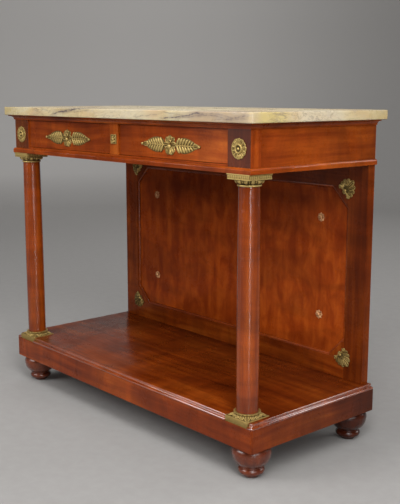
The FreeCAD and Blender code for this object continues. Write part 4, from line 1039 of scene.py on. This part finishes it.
def drawer_mounts():
    """A leafy flower over the keyhole between two full sprays that end in a bud and a ball."""
    top = leaf_form("flower_crown", 15.5, 20.0, 4.6, waist=0.5, broad=0.5, blunt=0.6)
    side_leaf = leaf_form("flower_leaf", 19.5, 18.0, 4.6, waist=0.45, broad=0.55, blunt=0.6)
    lobe = leaf_form("flower_lobe", 20.5, 18.5, 5.4, waist=0.4, broad=0.62, blunt=0.45)
    sepal = leaf_form("flower_sepal", 18.0, 14.0, 4.0, waist=0.4)
    parts = [(top, at(0, 10.5, 0.4, 90)), (key_collar(KEYHOLE_RADIUS), at(0, KEY_RISE)),
             (knob_form("flower_knob", 6.2, 7.4), at(0, -3.4))]
    for side in (1, -1):
        parts += [(sepal, at(side * 4, 8, 0.2, 90 - side * 50)),
                  (side_leaf, at(side * 5.5, 0.5, 0.3, 90 - side * 88)),
                  (sepal, at(side * 5, -5, 0.2, 90 - side * 124)),
                  (lobe, at(side * 3, -5.5, 0.6, 90 - side * 160))]
    frond = leaf_form("spray_leaf", 23.0, 9.4, 3.8, ROUND, waist=0.5, broad=0.62, blunt=0.6)
    leaves = grown(SPRAY, frond, Pairs=7, Start=28.0, Length=62.0, First_size=1.0, Last_size=0.52,
                   First_lean=radians(60), Last_lean=radians(42), Rise=1.0, Fullness=2.0)
    ground = leaf_form("spray_ground", 86.0, 41.0, 1.2, HOLLOW, waist=0.6, broad=0.34, blunt=0.8)
    stem = leaf_form("spray_stem", 92.0, 4.6, 4.2, ROUND, waist=0.9, broad=0.1, blunt=0.5)
    bud = leaf_form("spray_bud", 21.0, 14.0, 3.8, waist=0.45, broad=0.45)
    ball = knob_form("spray_ball", 4.0, 5.4)
    spray = [(leaves, at()), (ground, at(24)), (stem, at(23)), (bud, at(93, 0, 0.2)), (ball, at(115.5))]
    parts += mirrored(spray)
    place = on_front(middle("drawer_front_right").x, middle("drawer_mount_right").z, DRAWER_FRONT)
    cast_pair("drawer_mount", moved(parts, place), LEFT_MOUNT_SHADED_SHARE)


def capitals():
    """A round bead, an echinus of eggs and darts, and a square abacus with a row of tongues."""
    bell = turned_form("capital_bell", [
        (27.2, 0.0, 0.6), (29.4, 0.7, 0.9), (30.3, 2.4, 1.0), (29.6, 4.2, 0.9), (27.9, 5.0, 0.1),
        (27.8, 6.4, 0.0), (29.2, 9.5, 0.0), (31.6, 13.0, 0.0), (34.4, 16.0, 0.1), (35.0, 17.2, 0.2)],
        BELL_SIDES)
    egg = leaf_form("capital_egg", 11.5, 12.6, 4.6, ROUND, waist=0.7, broad=0.3, blunt=0.6)
    dart = leaf_form("capital_dart", 11.0, 4.2, 2.6, ROUND, waist=0.6, broad=0.2, blunt=1.0)
    lean = radians(122)
    eggs = grown(FAN, egg, Count=12, Radius=34.8, Step=radians(30), Lean=lean, Lift=16.8)
    darts = grown(FAN, dart, Count=12, Radius=34.8, First=radians(15), Step=radians(30), Lean=lean,
                  Lift=16.8)
    abacus = square_form("capital_abacus", [
        (34.0, 17.0, 0.3), (38.4, 17.1, 0.8), (38.6, 18.8, 0.9), (38.2, 19.2, 0.5), (38.2, 27.6, 0.5),
        (39.4, 28.2, 0.8), (39.5, 28.6, 0.9), (39.5, 31.0, 0.9), (39.1, 31.5, 0.8)])
    tongue = leaf_form("capital_tongue", 8.0, 5.4, 1.1, ROUND, waist=0.9, broad=0.3, blunt=0.4)
    tongues = grown(ROW, tongue, Count=12, Pitch=6.2)
    face = Matrix(((0, 1, 0, 0), (0, 0, -1, -38.1), (-1, 0, 0, 27.7), (0, 0, 0, 1)))
    parts = centred(bell, eggs, darts, abacus)
    parts += [(tongues, at(heading=90 * quarter) @ face) for quarter in range(4)]
    cast_pair("capital", moved(parts, standing("capital_right")))


def column_bases():
    """A square plate with corner spurs, and a waisted ring of drooping leaves under a scalloped rim."""
    plate = square_form("base_plate", [
        (39.5, 0.0, 0.4), (39.5, 15.2, 0.6), (38.9, 16.0, 0.7), (37.0, 16.0, 0.35), (30.0, 16.0, 0.2)])
    core = turned_form("base_core", [
        (38.4, 16.0, 0.3), (38.2, 16.6, 0.35), (36.2, 17.6, 0.3), (33.2, 19.6, 0.25), (31.6, 22.0, 0.25),
        (31.4, 24.0, 0.3), (32.2, 25.8, 0.45), (33.6, 27.0, 0.6), (34.6, 27.8, 0.75), (34.4, 28.3, 0.75),
        (33.0, 28.5, 0.65), (29.5, 28.2, 0.4)], BELL_SIDES)
    leaf = leaf_form("base_leaf", 11.5, 12.6, 1.9, waist=0.55, broad=0.5, blunt=0.5)
    leaves = grown(FAN, leaf, Count=16, Radius=30.6, Step=radians(22.5), Lean=radians(42), Lift=23.6)
    lip = leaf_form("base_lip", 4.4, 10.4, 1.3, ROUND, waist=0.8, broad=0.3, blunt=0.5)
    lips = grown(FAN, lip, Count=20, Radius=34.4, Step=radians(18), Lean=radians(125), Lift=28.0)
    spur = leaf_form("base_spur", 20.0, 15.0, 2.8, waist=0.5, broad=0.4, blunt=0.7)
    spurs = grown(FAN, spur, Count=4, Radius=30.0, First=radians(45), Step=radians(90),
                  Lean=radians(15), Lift=20.6)
    parts = centred(plate, core, leaves, lips, spurs)
    cast_pair("column_base", moved(parts, standing("column_base_right")))


def corner_palmettes():
    """A round fan of nine leaves on a bar that ends in two scrolls."""
    blade = leaf_form("palmette_leaf", 42.0, 16.0, 4.6, waist=0.35, broad=0.78, blunt=0.45)
    blades = grown(FAN, blade, Count=9, Radius=1.0, First=radians(-92), Step=radians(23),
                   Shrink=0.42, Lift=0.3)
    shell = turned_form("palmette_shell", [
        (17.0, 0.0, 0.05), (17.0, 1.2, 0.05), (12.0, 2.4, 0.1), (4.0, 3.0, 0.15), (0.3, 3.2, 0.2)],
        SHELL_SIDES)
    bar = leaf_form("palmette_bar", 40.0, 6.0, 4.4, ROUND, waist=0.8, broad=0.5, blunt=0.4)
    scroll = scroll_form("palmette_scroll", 7.0, 4.6)
    heel = leaf_form("palmette_heel", 9.0, 11.0, 3.6, waist=0.5)
    knob = knob_form("palmette_knob", 4.6, 6.2)
    curl = at(-2.0, 21, 0.0, 200)
    fan = [(blades, at()), (shell, at(14.0)), (bar, at(0, -20, 0.2, 90)), (heel, at(0, 0, 0.2, 180)),
           (knob, at(3.0, 0, 0.4)), (scroll, curl), (scroll, MIRROR_ACROSS @ curl)]
    high = on_front(PALMETTE_X, PALMETTE_HIGH, FRAME_FRONT) @ at(heading=45)
    low = on_front(PALMETTE_X, PALMETTE_LOW, FRAME_FRONT) @ at(heading=-45)
    # The lower palmettes are painted in shade, dimmer than the upper ones
    right = moved(fan, high) + moved(shaded_copies(fan, LOW_PALMETTE_SHADED_SHARE), low)
    cast("corner_palmettes", mirrored(right))


def star_rosettes():
    """Small eight-rayed stars with a round boss."""
    ray = leaf_form("star_ray", 11.0, 8.4, 2.2, waist=0.6, broad=0.5, blunt=0.8)
    rays = grown(FAN, ray, Count=8, Radius=2.8, Step=radians(45))
    star = centred(rays, knob_form("star_boss", 4.2, 4.5))
    right = []
    for height in (STAR_HIGH, STAR_LOW):
        right += moved(star, on_front(STAR_X, height, PANEL_FRONT))
    cast("star_rosettes", mirrored(right), RUBBED_BRONZE)


post_rosettes()
centre_patera()
drawer_mounts()
capitals()
column_bases()
corner_palmettes()
star_rosettes()


# Floor, light and camera

SWEEP_REACH = 6.5
SWEEP_COVE = 1.6
SWEEP_HEIGHT = 4.2
SWEEP_SIDES = 96
COVE_STEPS = 12
FLOOR_RINGS = (0.02, 2.0)
AIR_COLOUR = (0.95, 0.97, 1.0)
AIR_STRENGTH = 0.02
TABLE_MIDDLE = (0.0, 0.0, 0.5)
# Soft boxes: place, target, width and height, watts
SOFT_BOXES = {
    "soft_box_right_near": ((1.75, -1.15, 2.1), TABLE_MIDDLE, (0.8, 1.4), 42.0),
    "soft_box_right_far": ((4.0, -0.9, 2.2), TABLE_MIDDLE, (1.5, 2.0), 31.0),
    "strip_box_right": ((2.85, -1.60, 1.21), (0.0, 0.0, 1.21), (0.08, 2.4), 24.0),
    "soft_box_front": ((-1.0, -3.0, 2.2), TABLE_MIDDLE, (1.9, 1.5), 69.0),
    "soft_box_above": ((0.3, -0.8, 3.6), TABLE_MIDDLE, (2.4, 2.0), 52.0),
    "soft_box_behind": ((1.9, 3.8, 2.6), TABLE_MIDDLE, (1.5, 2.2), 52.0),
    "reflector_front": ((-1.65, -2.4, 0.65), (0.4, -0.2, 0.8), (0.7, 1.1), 1.4),
    "soft_box_backdrop": ((-2.6, 2.4, 4.0), (-3.4, 3.0, 0.0), (2.6, 2.0), 60.0),
}


def sweep():
    """A round paper floor that curves up into a wall, open above."""
    edge = SWEEP_REACH - SWEEP_COVE
    turns = [radians(90) * step / COVE_STEPS for step in range(COVE_STEPS + 1)]
    cove = [(edge + SWEEP_COVE * sin(turn), SWEEP_COVE - SWEEP_COVE * cos(turn)) for turn in turns]
    flat = [(radius, 0.0) for radius in FLOOR_RINGS]
    form = spun(flat + cove + [(SWEEP_REACH, SWEEP_HEIGHT)], SWEEP_SIDES, ends=False)
    mesh = bpy.data.meshes.new("studio_sweep")
    form.to_mesh(mesh)
    form.free()
    mesh.shade_smooth()
    mesh.materials.append(floor_finish())
    put_in_scene("studio_sweep", mesh)


def soft_box(name, place, target, size, watts):
    """One soft box aimed at a target."""
    lamp = bpy.data.lights.new(name, "AREA")
    lamp.shape = "RECTANGLE"
    lamp.size, lamp.size_y = size
    lamp.energy = watts
    box = put_in_scene(name, lamp)
    box.location = place
    aim = Vector(target) - Vector(place)
    box.rotation_euler = aim.to_track_quat("-Z", "Y").to_euler()


def studio():
    """The paper sweep in faint air light, with soft boxes round the table."""
    sweep()
    world = bpy.data.worlds.new("studio_air")
    world.use_nodes = True
    air = world.node_tree.nodes["Background"].inputs
    air["Color"].default_value = rgb(*AIR_COLOUR)
    air["Strength"].default_value = AIR_STRENGTH
    bpy.context.scene.world = world
    for name, settings in SOFT_BOXES.items():
        soft_box(name, *settings)


def camera():
    """The photograph's viewpoint, with the lens that its perspective gives."""
    lens = bpy.data.cameras.new("photo_camera")
    lens.sensor_fit = "VERTICAL"
    lens.sensor_height = SENSOR_MM
    lens.lens = FOCAL_PIXELS / PICTURE_HEIGHT_PIXELS * SENSOR_MM
    eye = put_in_scene("photo_camera", lens)
    eye.location = CAMERA_PLACE
    eye.rotation_euler = (radians(90) - CAMERA_PITCH, 0.0, CAMERA_YAW)
    bpy.context.scene.camera = eye
    bpy.context.scene.view_settings.view_transform = "Standard"


studio()
camera()
